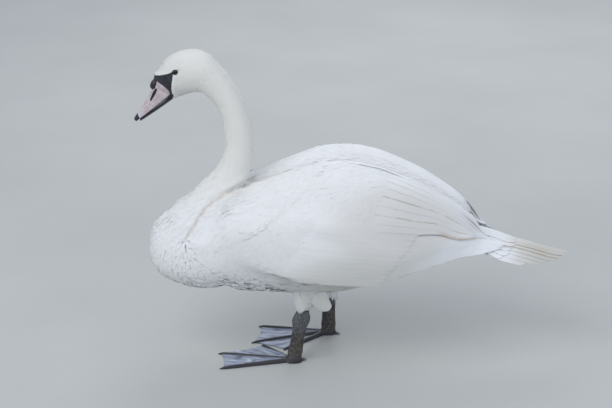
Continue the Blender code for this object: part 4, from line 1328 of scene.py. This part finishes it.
def arch_rings(ribs, down):
    """Sections of one half of the bill: an arch over a nearly flat side, the arch downwards for the jaw."""
    rows = curve_through(ribs, BILL_RINGS)
    half = BILL_SIDES // 2
    rings = []
    for tx, tz, bx, bz, width in rows:
        (fx, fz), (cx, cz) = ((tx, tz), (bx, bz)) if down else ((bx, bz), (tx, tz))
        ring = []
        for k in range(half + 1):
            angle = math.pi * (k / half - 0.5)
            out = math.copysign(abs(math.sin(angle)) ** ARCH_OUT, angle)
            up = max(math.cos(angle), 0.0) ** ARCH_UP
            ring.append((fx + (cx - fx) * up, width * out, fz + (cz - fz) * up))
        for k in range(1, half):
            out = 1 - 2 * k / half
            up = ARCH_CROWN * (1 - out * out)
            ring.append((fx + (cx - fx) * up, width * out, fz + (cz - fz) * up))
        rings.append(ring)
    return np.array(rings) * MM


def knob_mesh():
    bm = bmesh.new()
    shape = Matrix.Diagonal((*(r * MM for r in KNOB_RADII), 1.0))
    turn = Matrix.Rotation(math.radians(KNOB_TILT), 4, "Y")
    place = Matrix.Translation(Vector(KNOB_PLACE) * MM) @ turn @ shape
    bmesh.ops.create_icosphere(bm, subdivisions=4, radius=1.0, matrix=place)
    return mesh_from(bm, "knob")


def build_bill(material):
    """Both halves of the bill, the upper one with its knob and nostrils."""
    bill = new_object("bill", loft("bill", arch_rings(BILL_RIBS, False)))
    jaw = new_object("jaw", loft("jaw", arch_rings(JAW_RIBS, True)))
    pieces = []
    for name, parts in (("beak", [bill, new_object("knob", knob_mesh())]), ("jaw", [jaw])):
        obj = remeshed(parts, BILL_VOXEL, 5)
        mesh = obj.data
        obj.name = mesh.name = name
        points = points_of(mesh)
        normals = normals_of(mesh)
        x, y, z = points.T / MM
        gap, along = segment_distance(x, z, NOSTRIL_FROM, NOSTRIL_TO)
        wide = NOSTRIL_WIDE * (0.55 + 0.45 * np.sin(math.pi * along**0.8))
        beside = (np.abs(y) > 4) * (name == "beak")
        slot = (1 - smooth_step(wide * 0.45, wide, gap)) * beside
        rim = np.exp(-((gap - wide * 1.15) / 0.7) ** 2) * beside
        pores = waves(points, 0.0022, 71) * 0.05 + waves(points, 0.009, 72) * 0.12
        height = pores + NOSTRIL_RIM * rim - NOSTRIL_DEEP * slot
        set_points(mesh, points + normals * (height * MM)[:, None])
        write_face(mesh, x, y, z, slot, name == "beak")
        mesh.materials.append(material)
        pieces.append(obj)
    return pieces


def write_face(mesh, x, y, z, slot, pinkish=True):
    """The markings of the bill and the lores, as attributes in millimetres."""
    pink = outline_distance(x, z, PINK_OUTLINE) if pinkish else np.full(len(x), -3.0)
    from_tip = (x - NAIL_TIP[0]) * BILL_HEADING[0] + (z - NAIL_TIP[1]) * BILL_HEADING[1]
    nail = (1 - np.hypot(y / NAIL_SIZE[0], from_tip / NAIL_SIZE[1])) * NAIL_SIZE[0]
    set_values(mesh, tip=from_tip, pink=pink, nail=nail, slot=slot)


def drop_points(mesh, dropped):
    """Takes away the vertices of a mesh that dropped marks."""
    bm = bmesh.new()
    bm.from_mesh(mesh)
    bmesh.ops.delete(bm, geom=[vert for vert in bm.verts if dropped[vert.index]], context="VERTS")
    bm.to_mesh(mesh)
    bm.free()


def build_lores(form, material):
    """The bare black skin between the eyes and the bill, cut from the head's own shape."""
    obj = new_object("lores", form.data.copy())
    x, _, z = points_of(obj.data).T
    drop_points(obj.data, (x > LORE_REAR) | (z < LORE_LOW))
    refine = obj.modifiers.new("fine", "SUBSURF")
    refine.levels = 3
    apply_modifiers(obj)
    mesh = obj.data
    points = points_of(mesh)
    normals = normals_of(mesh)
    edge = outline_distance(points[:, 0] / MM, points[:, 2] / MM, LORE_OUTLINE)
    keep = edge > 0
    drop_points(mesh, ~keep)
    points, normals, edge = points[keep], normals[keep], edge[keep]
    x, _, z = points.T / MM
    rise = -1.0 + 1.25 * smooth_step(0.0, 1.2, edge)
    rise -= 1.4 * (1 - smooth_step(0.0, 4.5, segment_distance(x, z, *LORE_FRONT)[0]))
    grain = waves(points, 0.003, 75) * 0.06 + waves(points, 0.0014, 76) * 0.04
    points = points + normals * ((rise + grain) * MM)[:, None]
    mesh.vertices.foreach_set("co", points.astype(np.float32).ravel())
    solid = obj.modifiers.new("thick", "SOLIDIFY")
    solid.thickness = LORE_THICK * MM
    solid.offset = -1.0
    apply_modifiers(obj)
    mesh = obj.data
    mesh.name = "lores"
    x, y, z = points_of(mesh).T / MM
    write_face(mesh, x, y, z, np.zeros(len(x)))
    mesh.materials.clear()
    mesh.materials.append(material)
    shade_smooth(mesh)
    return obj


def build_eye(name, side, material, lid_material):
    """The eyeball and the lids round it."""
    centre = Vector((EYE_PLACE[0], side * EYE_PLACE[1], EYE_PLACE[2])) * MM
    bm = bmesh.new()
    bmesh.ops.create_uvsphere(bm, u_segments=48, v_segments=32, radius=EYE_RADIUS * MM)
    bmesh.ops.rotate(bm, verts=bm.verts, matrix=Matrix.Rotation(math.radians(90 * side), 3, "X"))
    bmesh.ops.translate(bm, verts=bm.verts, vec=centre)
    mesh = mesh_from(bm, f"eyeball_{name}")
    shade_smooth(mesh)
    x, y, z = points_of(mesh).T / MM
    out = np.hypot(x - EYE_PLACE[0], z - EYE_PLACE[2]) + (side * y < EYE_PLACE[1]) * 9.0
    set_values(mesh, out=out)
    mesh.materials.append(material)
    ball = new_object(f"eyeball_{name}", mesh)
    slant = Matrix.Rotation(-EYE_SLANT, 3, "Y")
    rings = []
    for t in range(LID_TURNS):
        angle = 2 * math.pi * t / LID_TURNS
        corner = 1.0
        for (more, sharp), way in zip(LID_CORNERS, (-1, 1)):
            corner += more * max(0.0, way * math.cos(angle)) ** sharp
        middle = Vector((EYE_HALF[0] * corner * math.cos(angle), 0.0, EYE_HALF[1] * math.sin(angle)))
        outward = Vector((math.cos(angle), 0.0, math.sin(angle)))
        middle, outward = slant @ middle, slant @ outward
        sphere = EYE_RADIUS**2 - middle.length_squared
        middle.y = side * (math.sqrt(max(sphere, 0.0)) + LID_OFF)
        ring = []
        for k in range(LID_SIDES):
            turn = 2 * math.pi * k / LID_SIDES
            step = outward * (LID_WIDE * math.cos(turn)) + Vector((0, side, 0)) * (LID_HIGH * math.sin(turn))
            ring.append(centre + (middle + step) * MM)
        rings.append(ring)
    lid = loft(f"lid_{name}", rings + [rings[0]], False)
    bm = bmesh.new()
    bm.from_mesh(lid)
    bmesh.ops.remove_doubles(bm, verts=bm.verts, dist=1e-6)
    bm.to_mesh(lid)
    bm.free()
    face_out(lid)
    x, y, z = points_of(lid).T / MM
    write_face(lid, x, y, z, np.zeros(len(x)))
    lid.materials.append(lid_material)
    return ball, new_object(f"lids_{name}", lid)


# Legs and their feathers.

# Each leg: its hock and the middle of its foot, then the tips of its outer, middle and inner toe, x and y.
LEGS = {
    "left": ((-106.5, -68, 102), (-121.5, -66, 14), ((-276, -105), (-282, -30), (-192, 12))),
    "right": ((-48.5, 74, 102), (-49.5, 76, 14), ((-201, 109), (-214, 23), (-145, -13))),
}
LEG_VOXEL = 0.95
LEG_SMOOTHING = 4
# The borders of a toe, by the distance from its line and by height, and of the shank and the heel.
TOE_BORDER = (3.5, 6.0)
TOE_TOP = (12, 20)
SHANK_BORDER = (14, 26)
HEEL_BORDER = (14, 30)
# The net of scales: their size on shank and toes, the grooves' depth and width, and the least share of scaled
# skin where a scale sits.
SCALE_STEP = 3.4
TOE_SCALE_STEP = 2.6
SCALE_DEEP = 0.42
GROOVE_WIDE = 1.1
SCALE_LEAST = 0.4
# The scales are a little taller than wide: the share by which heights count when they part.
SCALE_STRETCH = (1.0, 1.0, 0.72)
# The joints along the toes: their distance and height.
JOINT_STEP = 3.2
JOINT_HEIGHT = 0.18
# The folds of the webs: how fast they follow each other round the heel, their height, how far a wave bends
# them, how sharp they are, and how far from the heel they begin.
WEB_FOLD_PACE = 37.4
WEB_FOLD_HEIGHT = 0.7
WEB_FOLD_BEND = 3.2
WEB_FOLD_SHARP = 1.5
WEB_FOLDS_BEGIN = (20, 60)
# Creases between the folds and unevenness of all the skin, and the least height where anything is carved.
CREASE_HEIGHT = 0.10
UNEVEN_HEIGHT = 0.10
SOLE_BORDER = (0.05, 1.2)
SOLE_TOP = 1.4
# How much thicker the shank is along x than the solid, and where that begins and ends.
SHANK_THICKER = 0.17
THICKER_FROM = (10, 24)
THICKER_TO = (112, 92)


def build_leg(name, nodes, material):
    """Shank and webbed foot in one skin, with its scales, the joints of the toes and the folds of the web."""
    hock, foot, tips = LEGS[name]
    solids = [copy_of(nodes[f"shank_{name}"]), copy_of(nodes[f"foot_{name}"])]
    leg = remeshed(solids, LEG_VOXEL, LEG_SMOOTHING)
    mesh = leg.data
    leg.name = mesh.name = f"leg_{name}"
    surface = Surface(mesh)
    points = surface.points
    x, y, z = points.T / MM
    toe = np.full(len(x), 1e9)
    toe_along = np.zeros(len(x))
    heel = np.array(foot[:2])
    for tip in tips:
        gap, along = segment_distance(x, y, heel, tip)
        closer = gap < toe
        toe[closer] = gap[closer]
        toe_along[closer] = (along * math.dist(heel, tip))[closer]
    from_heel = np.hypot(x - heel[0], y - heel[1])
    on_toe = (1 - smooth_step(*TOE_BORDER, toe)) * (1 - smooth_step(*TOE_TOP, z))
    on_shank = smooth_step(*SHANK_BORDER, z)
    web = (1 - on_shank) * (1 - on_toe) * smooth_step(*HEEL_BORDER, from_heel)
    scaled = 1 - web
    spacing = np.where(on_shank > 0.5, SCALE_STEP, TOE_SCALE_STEP) * MM
    seeds = scatter(surface, spacing, (scaled > SCALE_LEAST).astype(float), 61)
    tree = tree_of(seeds * SCALE_STRETCH)
    groove = np.zeros(len(x))
    tone = np.zeros(len(x))
    tones = np.random.default_rng(62).random(len(seeds))
    for i, point in enumerate((points * SCALE_STRETCH).tolist()):
        if scaled[i] > 0.05:
            (_, first, near), (_, _, far) = tree.find_n(point, 2)
            groove[i] = 1 - min((far - near) / (GROOVE_WIDE * MM), 1.0)
            tone[i] = tones[first]
    groove = smooth_step(0.1, 1.0, groove) * scaled
    rings = 0.5 - 0.5 * np.cos(2 * math.pi * toe_along / JOINT_STEP)
    angle = np.arctan2(y - heel[1], heel[0] - x)
    folds = np.sin(angle * WEB_FOLD_PACE + WEB_FOLD_BEND * waves(points, 0.040, 63))
    folds = folds * (0.7 + 0.4 * waves(points, 0.03, 66))
    folds = np.sign(folds) * np.abs(folds) ** WEB_FOLD_SHARP
    folds = folds * smooth_step(*WEB_FOLDS_BEGIN, from_heel) * web
    creases = waves(points * [1, 1, 0], 0.006, 64) * web
    height = -SCALE_DEEP * groove + JOINT_HEIGHT * (rings - 0.5) * on_toe
    height = height + WEB_FOLD_HEIGHT * folds * (z > SOLE_TOP)
    height += CREASE_HEIGHT * creases + UNEVEN_HEIGHT * waves(points, 0.008, 65)
    height *= smooth_step(*SOLE_BORDER, z)
    points = points + surface.normals * (height * MM)[:, None]
    level = np.clip((z - foot[2]) / (hock[2] - foot[2]), 0, 1)
    axis = foot[0] + (hock[0] - foot[0]) * level
    thicker = SHANK_THICKER * smooth_step(*THICKER_FROM, z) * smooth_step(*THICKER_TO, z)
    points[:, 0] += (x - axis) * MM * thicker
    points[:, 2] = np.maximum(points[:, 2], 0.0)
    set_points(mesh, points)
    # The folds' height goes into the colour as well: painted shade in their troughs, painted highlight on
    # their crests.
    set_values(mesh, groove=groove, tone=tone, web=web, folds=folds * 0.5 + 0.5, high=z)
    mesh.materials.append(material)
    return leg


# Feathers that hang over each hock, and the petal of feathers behind each thigh.
CUFF_COUNT = 30
CUFF_LAYERS = 4
# Each cuff's upper and lower middle, its radii there along x and y, and how much its rear edge is higher.
CUFFS = {
    "left": ((-112, -70, 162), (-100, -68, 125), (13, 15), (13.0, 13.0), 12),
    "right": ((-50, 72, 158), (-47, 73, 92), (19, 18), (16.5, 15.5), -6),
}
# Each petal's first root, last root and tip.
FLAPS = {
    "left": ((-114, -74, 174), (-70, -74, 174), (-52, -77, 118)),
    "right": ((-62, 70, 172), (-32, 70, 172), (-30, 72, 128)),
}
FLAP_COUNT = 9
# Half width, point and hollow of the feathers of cuffs and petals.
CUFF_FEATHER = (4.2, 0.8, 0.6)
FLAP_FEATHER = (8.5, 0.45, 0.8)
# How far each layer of a cuff lies inside the last one, above and below, and how far its feathers swell out.
CUFF_INSET = (0.7, 0.4)
CUFF_SWELL = 2.5
# How far the feathers of a petal swell out, and how far each next one lies outside the last.
FLAP_SWELL = 4
FLAP_STEP = 0.6


def build_leg_feathers(name, side, material):
    """The cuff over the hock and the feathers that hang behind the thigh."""
    rng = np.random.default_rng(70)
    blades = Blades()
    top, low, wide, narrow, rear = CUFFS[name]
    steps = np.linspace(0, 1, BROAD_STATIONS)[:, None]
    for index in range(CUFF_LAYERS * CUFF_COUNT):
        angle = 2 * math.pi * (index + rng.uniform(-0.3, 0.3)) / CUFF_COUNT
        layer = index % CUFF_LAYERS
        around = np.array([math.cos(angle), math.sin(angle), 0.0])
        start = top + around * [wide[0], wide[1], 0] - around * CUFF_INSET[0] * layer
        start[2] += rng.uniform(-4, 4)
        end = low + around * [narrow[0], narrow[1], 0] - around * CUFF_INSET[1] * layer
        end[2] += rear * around[0] + rng.uniform(-3, 3) + 5 * (layer - 1)
        line = (start + (end - start) * steps + around * CUFF_SWELL * np.sin(math.pi * steps)) * MM
        free_blade(blades, line, np.tile(around, (len(line), 1)), *CUFF_FEATHER, rng.random())
    first, last, tip = (np.array(place, float) for place in FLAPS[name])
    for index in range(FLAP_COUNT):
        share = index / (FLAP_COUNT - 1)
        root = first + (last - first) * share + rng.normal(0, 0.6, 3)
        end = tip + np.array([3.0 * share - 1.0, 0.0, 4.0 * share])
        line = (root + (end - root) * steps) * MM
        line[:, 1] += side * MM * (FLAP_SWELL * np.sin(math.pi * steps[:, 0]) + FLAP_STEP * index)
        outer = np.tile([0.1, side, 0.1], (len(line), 1))
        free_blade(blades, line, outer, *FLAP_FEATHER, rng.random())
    return blades.build(f"leg_feathers_{name}", material)


# Materials.


def node_in(tree, kind, **values):
    node = tree.nodes.new(kind)
    for name, value in values.items():
        setattr(node, name, value)
    return node


def new_material(name, roughness, specular=0.5):
    material = bpy.data.materials.new(name)
    material.use_nodes = True
    shader = material.node_tree.nodes["Principled BSDF"]
    shader.inputs["Roughness"].default_value = roughness
    shader.inputs["Specular IOR Level"].default_value = specular
    return material, material.node_tree, shader


def attribute_in(tree, name):
    return node_in(tree, "ShaderNodeAttribute", attribute_name=name).outputs["Fac"]


def noise_in(tree, scale, detail=4.0):
    place = node_in(tree, "ShaderNodeTexCoord")
    noise = node_in(tree, "ShaderNodeTexNoise")
    noise.inputs["Scale"].default_value = scale
    noise.inputs["Detail"].default_value = detail
    tree.links.new(place.outputs["Object"], noise.inputs["Vector"])
    return noise.outputs["Fac"]


def math_in(tree, operation, *values):
    """A maths node for the given operation, with up to three inputs, each a socket or a number."""
    node = node_in(tree, "ShaderNodeMath", operation=operation)
    for socket, value in zip(node.inputs, values):
        if isinstance(value, bpy.types.NodeSocket):
            tree.links.new(value, socket)
        else:
            socket.default_value = value
    return node.outputs["Value"]


def step_in(tree, source, low, high):
    """0 below low, 1 above high."""
    node = node_in(tree, "ShaderNodeMapRange", interpolation_type="SMOOTHSTEP")
    tree.links.new(source, node.inputs["Value"])
    node.inputs["From Min"].default_value = low
    node.inputs["From Max"].default_value = high
    return node.outputs["Result"]


def blob_in(tree, middle, reach):
    """1 near a place on either side of the bird, falling to 0 at its reach."""
    place = node_in(tree, "ShaderNodeSeparateXYZ")
    tree.links.new(node_in(tree, "ShaderNodeTexCoord").outputs["Object"], place.inputs[0])
    parts = []
    for axis, centre, size in zip("XYZ", middle, reach):
        value = place.outputs[axis]
        if axis == "Y":
            value = math_in(tree, "ABSOLUTE", value)
        away = math_in(tree, "MULTIPLY_ADD", value, 1 / size, -centre / size)
        parts.append(math_in(tree, "MULTIPLY", away, away))
    total = math_in(tree, "ADD", math_in(tree, "ADD", parts[0], parts[1]), parts[2])
    return step_in(tree, total, 1.0, 0.1)


def mix_in(tree, factor, first, second):
    """A colour mix. Each input is a socket or a colour."""
    node = node_in(tree, "ShaderNodeMix", data_type="RGBA")
    for socket, value in ((node.inputs[0], factor), (node.inputs[6], first), (node.inputs[7], second)):
        if isinstance(value, bpy.types.NodeSocket):
            tree.links.new(value, socket)
        elif isinstance(value, tuple):
            socket.default_value = (*value, 1)
        else:
            socket.default_value = value
    return node.outputs[2]


def mix_by(tree, name, low, high, first, second):
    """A mix of two colours, by where an attribute lies between two values."""
    return mix_in(tree, step_in(tree, attribute_in(tree, name), low, high), first, second)


def ramp_in(tree, source, *stops):
    """A colour that runs from one to another. Each stop is a place and a colour."""
    ramp = node_in(tree, "ShaderNodeValToRGB")
    for element, (place, colour) in zip(ramp.color_ramp.elements, stops):
        element.position = place
        element.color = (*colour, 1)
    tree.links.new(source, ramp.inputs["Fac"])
    return ramp.outputs["Color"]


def bump_in(tree, shader, source, strength, distance):
    bump = node_in(tree, "ShaderNodeBump")
    bump.inputs["Strength"].default_value = strength
    bump.inputs["Distance"].default_value = distance
    tree.links.new(source, bump.inputs["Height"])
    tree.links.new(bump.outputs["Normal"], shader.inputs["Normal"])


# Tinges of the plumage on both sides: middle and reach in metres, strength, colour. They make head and neck
# creamy, the wing's side, the low flank and the thighs greyer, and the tail darker; the last one lightens the
# primaries as a painted highlight, where they face down into shade.
TINGES_AND_PAINTED_HIGHLIGHT = (
    ((-0.28, 0.0, 0.54), (0.20, 0.12, 0.28), 0.9, (0.745, 0.74, 0.70)),
    ((0.09, 0.13, 0.32), (0.19, 0.12, 0.10), 0.55, (0.62, 0.61, 0.575)),
    ((-0.01, 0.14, 0.21), (0.17, 0.09, 0.08), 0.75, (0.60, 0.60, 0.565)),
    ((0.45, 0.0, 0.21), (0.17, 0.16, 0.12), 0.95, (0.51, 0.50, 0.455)),
    ((-0.06, 0.08, 0.15), (0.09, 0.09, 0.045), 0.7, (0.62, 0.63, 0.58)),
    # A painted highlight: lightens the primaries, which face down into shade.
    ((0.23, 0.06, 0.245), (0.13, 0.07, 0.05), 0.9, (0.87, 0.89, 0.92)),
)
BARBS_PER_MM = 1.3
PLUMAGE_WHITE = (0.785, 0.795, 0.81)
PLUMAGE_CREAM = (0.745, 0.75, 0.745)
BROWN_STAIN_AND_SHADOW = (0.42, 0.31, 0.20)


def make_plumage():
    """White feathers with a creamy shade, tinges, a painted highlight on the primaries, worn brown rims here
    and there, brown shadow painted into the fold beside the neck, a brown edge on the lowest tertial that is
    partly stain and partly painted shadow, and fine barbs.
    """
    material, tree, shader = new_material("white_plumage", 0.75, 0.25)
    shader.inputs["Sheen Weight"].default_value = 0.15
    shade = attribute_in(tree, "shade")
    creamy = math_in(tree, "MULTIPLY_ADD", shade, 0.35, noise_in(tree, 9.0))
    colour = ramp_in(tree, creamy, (0.35, PLUMAGE_WHITE), (1.0, PLUMAGE_CREAM))
    # Each tinge, and the painted highlight on the primaries, is mixed in where its blob lies.
    for middle, reach, strength, tinge_or_highlight in TINGES_AND_PAINTED_HIGHLIGHT:
        share = math_in(tree, "MULTIPLY", blob_in(tree, middle, reach), strength)
        colour = mix_in(tree, share, colour, tinge_or_highlight)
    barb = node_in(tree, "ShaderNodeSeparateXYZ")
    barbs = node_in(tree, "ShaderNodeAttribute", attribute_name="barb")
    tree.links.new(barbs.outputs["Vector"], barb.inputs[0])
    rim = math_in(tree, "ABSOLUTE", barb.outputs["Z"])
    worn = math_in(tree, "MULTIPLY", step_in(tree, rim, 0.72, 1.0), step_in(tree, shade, 0.55, 0.7))
    worn = math_in(tree, "MULTIPLY", worn, step_in(tree, noise_in(tree, 30.0), 0.4, 0.6))
    colour = mix_in(tree, math_in(tree, "MULTIPLY", worn, 0.6), colour, BROWN_STAIN_AND_SHADOW)
    # Brown shadow painted along the fold beside the neck, and the lowest tertial's brown edge, which is
    # partly stain and partly painted shadow, in patches.
    patchy = step_in(tree, noise_in(tree, 45.0), 0.3, 0.55)
    shadow_and_stain = math_in(tree, "MULTIPLY", attribute_in(tree, "stain"), patchy)
    colour = mix_in(tree, math_in(tree, "MULTIPLY", shadow_and_stain, 0.85), colour, BROWN_STAIN_AND_SHADOW)
    tree.links.new(colour, shader.inputs["Base Color"])
    off_shaft = math_in(tree, "ABSOLUTE", barb.outputs["X"])
    lines = math_in(tree, "MULTIPLY_ADD", off_shaft, -1.1, barb.outputs["Y"])
    lines = math_in(tree, "MULTIPLY", lines, BARBS_PER_MM * 2 * math.pi)
    lines = math_in(tree, "ADD", lines, math_in(tree, "MULTIPLY", noise_in(tree, 260.0), 5.0))
    bump_in(tree, shader, math_in(tree, "SINE", lines), 0.2, 0.0001)
    return material


def make_face():
    """The bill's pinkish lilac with a bluish painted highlight towards the tip, its black edges, knob and
    lores, its blue-black nail, and painted shade in its nostrils.
    """
    material, tree, shader = new_material("bill_and_lores", 0.42)
    cloud = noise_in(tree, 120.0)
    pink = mix_in(tree, step_in(tree, cloud, 0.35, 0.7), (0.44, 0.37, 0.39), (0.54, 0.485, 0.51))
    # Towards the tip the pink turns bluish lilac: a painted highlight, the sky's reflection on the bill.
    pink = mix_by(tree, "tip", 34.0, 3.0, pink, (0.52, 0.53, 0.66))
    black = mix_in(tree, step_in(tree, cloud, 0.4, 0.7), (0.012, 0.013, 0.017), (0.028, 0.032, 0.042))
    colour = mix_by(tree, "pink", -0.5, 0.5, black, pink)
    horn = mix_in(tree, step_in(tree, cloud, 0.4, 0.65), (0.03, 0.035, 0.06), (0.09, 0.11, 0.17))
    colour = mix_by(tree, "nail", -0.6, 0.6, colour, horn)
    # Painted shade: the nostrils are only shallow dents, painted near black as if deep.
    colour = mix_by(tree, "slot", 0.05, 0.5, colour, (0.006, 0.007, 0.009))
    tree.links.new(colour, shader.inputs["Base Color"])
    bump_in(tree, shader, noise_in(tree, 900.0), 0.12, 0.0003)
    return material


def make_leg():
    """Dark scaled skin, browner low down, and grey-blue webs with painted shade in the troughs of their folds
    and a bluish painted highlight on their crests.
    """
    material, tree, shader = new_material("leg_skin", 0.5, 0.45)
    tone = attribute_in(tree, "tone")
    dark = mix_in(tree, tone, (0.030, 0.032, 0.036), (0.085, 0.088, 0.098))
    brown = mix_in(tree, tone, (0.040, 0.036, 0.032), (0.120, 0.108, 0.098))
    skin = mix_by(tree, "high", 95.0, 45.0, dark, brown)
    skin = mix_by(tree, "high", 16.0, 6.0, skin, (0.035, 0.036, 0.044))
    # Painted light on the webs: dark in the troughs of the folds, a bluish painted highlight on their crests.
    web = mix_in(tree, attribute_in(tree, "folds"), (0.07, 0.09, 0.15), (0.46, 0.52, 0.65))
    web = mix_in(tree, step_in(tree, noise_in(tree, 60.0), 0.5, 0.85), web, (0.22, 0.25, 0.32))
    colour = mix_in(tree, attribute_in(tree, "web"), skin, web)
    net = mix_by(tree, "high", 60.0, 85.0, (0.012, 0.012, 0.014), (0.30, 0.33, 0.37))
    colour = mix_by(tree, "groove", 0.25, 0.95, colour, net)
    tree.links.new(colour, shader.inputs["Base Color"])
    bump_in(tree, shader, noise_in(tree, 400.0), 0.3, 0.0004)
    return material


def make_eye():
    """Dark brown iris round a black pupil, under a clear wet coat."""
    material, tree, shader = new_material("eyeball", 0.08, 0.3)
    iris = mix_in(tree, noise_in(tree, 1400.0), (0.006, 0.004, 0.003), (0.018, 0.010, 0.006))
    colour = mix_by(tree, "out", 2.1, 2.3, (0.002, 0.002, 0.002), iris)
    colour = mix_by(tree, "out", 4.4, 4.7, colour, (0.01, 0.008, 0.007))
    tree.links.new(colour, shader.inputs["Base Color"])
    shader.inputs["Coat Weight"].default_value = 0.25
    shader.inputs["Coat Roughness"].default_value = 0.02
    return material


def make_floor():
    """Plain light grey paper."""
    material, tree, shader = new_material("floor", 0.9, 0.1)
    colour = ramp_in(tree, noise_in(tree, 2.0, 5.0), (0.35, (0.47, 0.48, 0.47)), (0.65, (0.50, 0.51, 0.50)))
    tree.links.new(colour, shader.inputs["Base Color"])
    return material


# Camera and studio.

# The photo's camera: where it looks, how far away it is and how high over that point.
AIM = (-0.0977, 0.0, 0.3238)
CAMERA_DISTANCE = 3.6
CAMERA_HEIGHT = 20.0
LENS = 103.3
# The lamps: name, place, width and power.
LAMPS = (
    ("key", (-2.1, -2.2, 2.9), 3.0, 77),
    ("fill", (2.5, -2.0, 2.0), 2.5, 22),
    ("back", (0.5, 3.0, 2.6), 2.2, 44),
)
LAMP_AIM = (0, 0, 0.3)
FLOOR_HALF = 30.0
SKY_COLOUR = (0.8, 0.87, 1.0, 1)
SKY_STRENGTH = 0.62


def add_camera():
    camera = new_object("camera", bpy.data.cameras.new("camera"))
    low = math.radians(CAMERA_HEIGHT)
    offset = Vector((0, -math.cos(low), math.sin(low))) * CAMERA_DISTANCE
    camera.location = Vector(AIM) + offset
    camera.rotation_euler = (-offset).to_track_quat("-Z", "Y").to_euler()
    camera.data.lens = LENS
    camera.data.sensor_width = 36.0
    camera.data.dof.use_dof = False
    bpy.context.scene.camera = camera
    return camera


def add_studio():
    """A floor and three lamps, under an even sky."""
    corners = np.array([(-1, -1, 0), (1, -1, 0), (1, 1, 0), (-1, 1, 0)]) * FLOOR_HALF
    floor = mesh_of("floor", corners, [[[0, 1, 2, 3]]], False)
    floor.materials.append(make_floor())
    staged = [new_object("floor", floor)]
    for name, place, width, power in LAMPS:
        lamp = new_object(name, bpy.data.lights.new(name, "AREA"))
        lamp.location = place
        lamp.rotation_euler = (Vector(LAMP_AIM) - Vector(place)).to_track_quat("-Z", "Y").to_euler()
        lamp.data.size = width
        lamp.data.energy = power
        staged.append(lamp)
    world = bpy.data.worlds.new("studio")
    world.use_nodes = True
    sky = world.node_tree.nodes["Background"]
    sky.inputs["Color"].default_value = SKY_COLOUR
    sky.inputs["Strength"].default_value = SKY_STRENGTH
    bpy.context.scene.world = world
    bpy.context.scene.view_settings.view_transform = "Standard"
    return staged


def main():
    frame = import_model()
    nodes = frame["nodes"]
    copies = [copy_of(nodes[name]) for name in FLESH + ("bill_upper", "bill_lower")]
    for name, end in SKIN_ENDS.items():
        piece = copy_of(nodes[name])
        cut_behind(piece, end)
        copies.append(piece)
    form = remeshed(copies, SKIN_VOXEL, SKIN_SMOOTHING, BODY_SMOOTHING)
    set_points(form.data, sculpt(Surface(form.data)))
    surface = Surface(form.data)
    add_fields(surface, form.data)
    white = make_plumage()
    skin = build_skin(surface, form, white)
    coat = build_coat(surface, white)
    for name, side in SIDES.items():
        wing = build_wing(surface, f"wing_feathers_{name}", side, white)
        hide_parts(f"wing_{name}")
        coat.append(wing)
    tail = build_tail(white)
    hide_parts("tail")
    coat.append(tail)
    face = make_face()
    beak, jaw = build_bill(face)
    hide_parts("bill_upper")
    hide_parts("bill_lower")
    lores = build_lores(form, face)
    bare = [beak, jaw, lores]
    leg_skin = make_leg()
    for name in LEGS:
        leg = build_leg(name, nodes, leg_skin)
        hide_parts(f"shank_{name}", f"foot_{name}")
        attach(leg, "root")
        coat.append(build_leg_feathers(name, SIDES[name], white))
    dark = make_eye()
    for name, side in SIDES.items():
        ball, lids = build_eye(name, side, dark, face)
        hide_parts(f"eye_{name}")
        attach(ball, "root")
        bare.append(lids)
    for piece in bare:
        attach(piece, "root")
    bpy.data.objects.remove(form)
    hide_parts(*FLESH)
    for piece in [skin] + coat:
        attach(piece, "root")
    camera = add_camera()
    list(add_studio())


main()
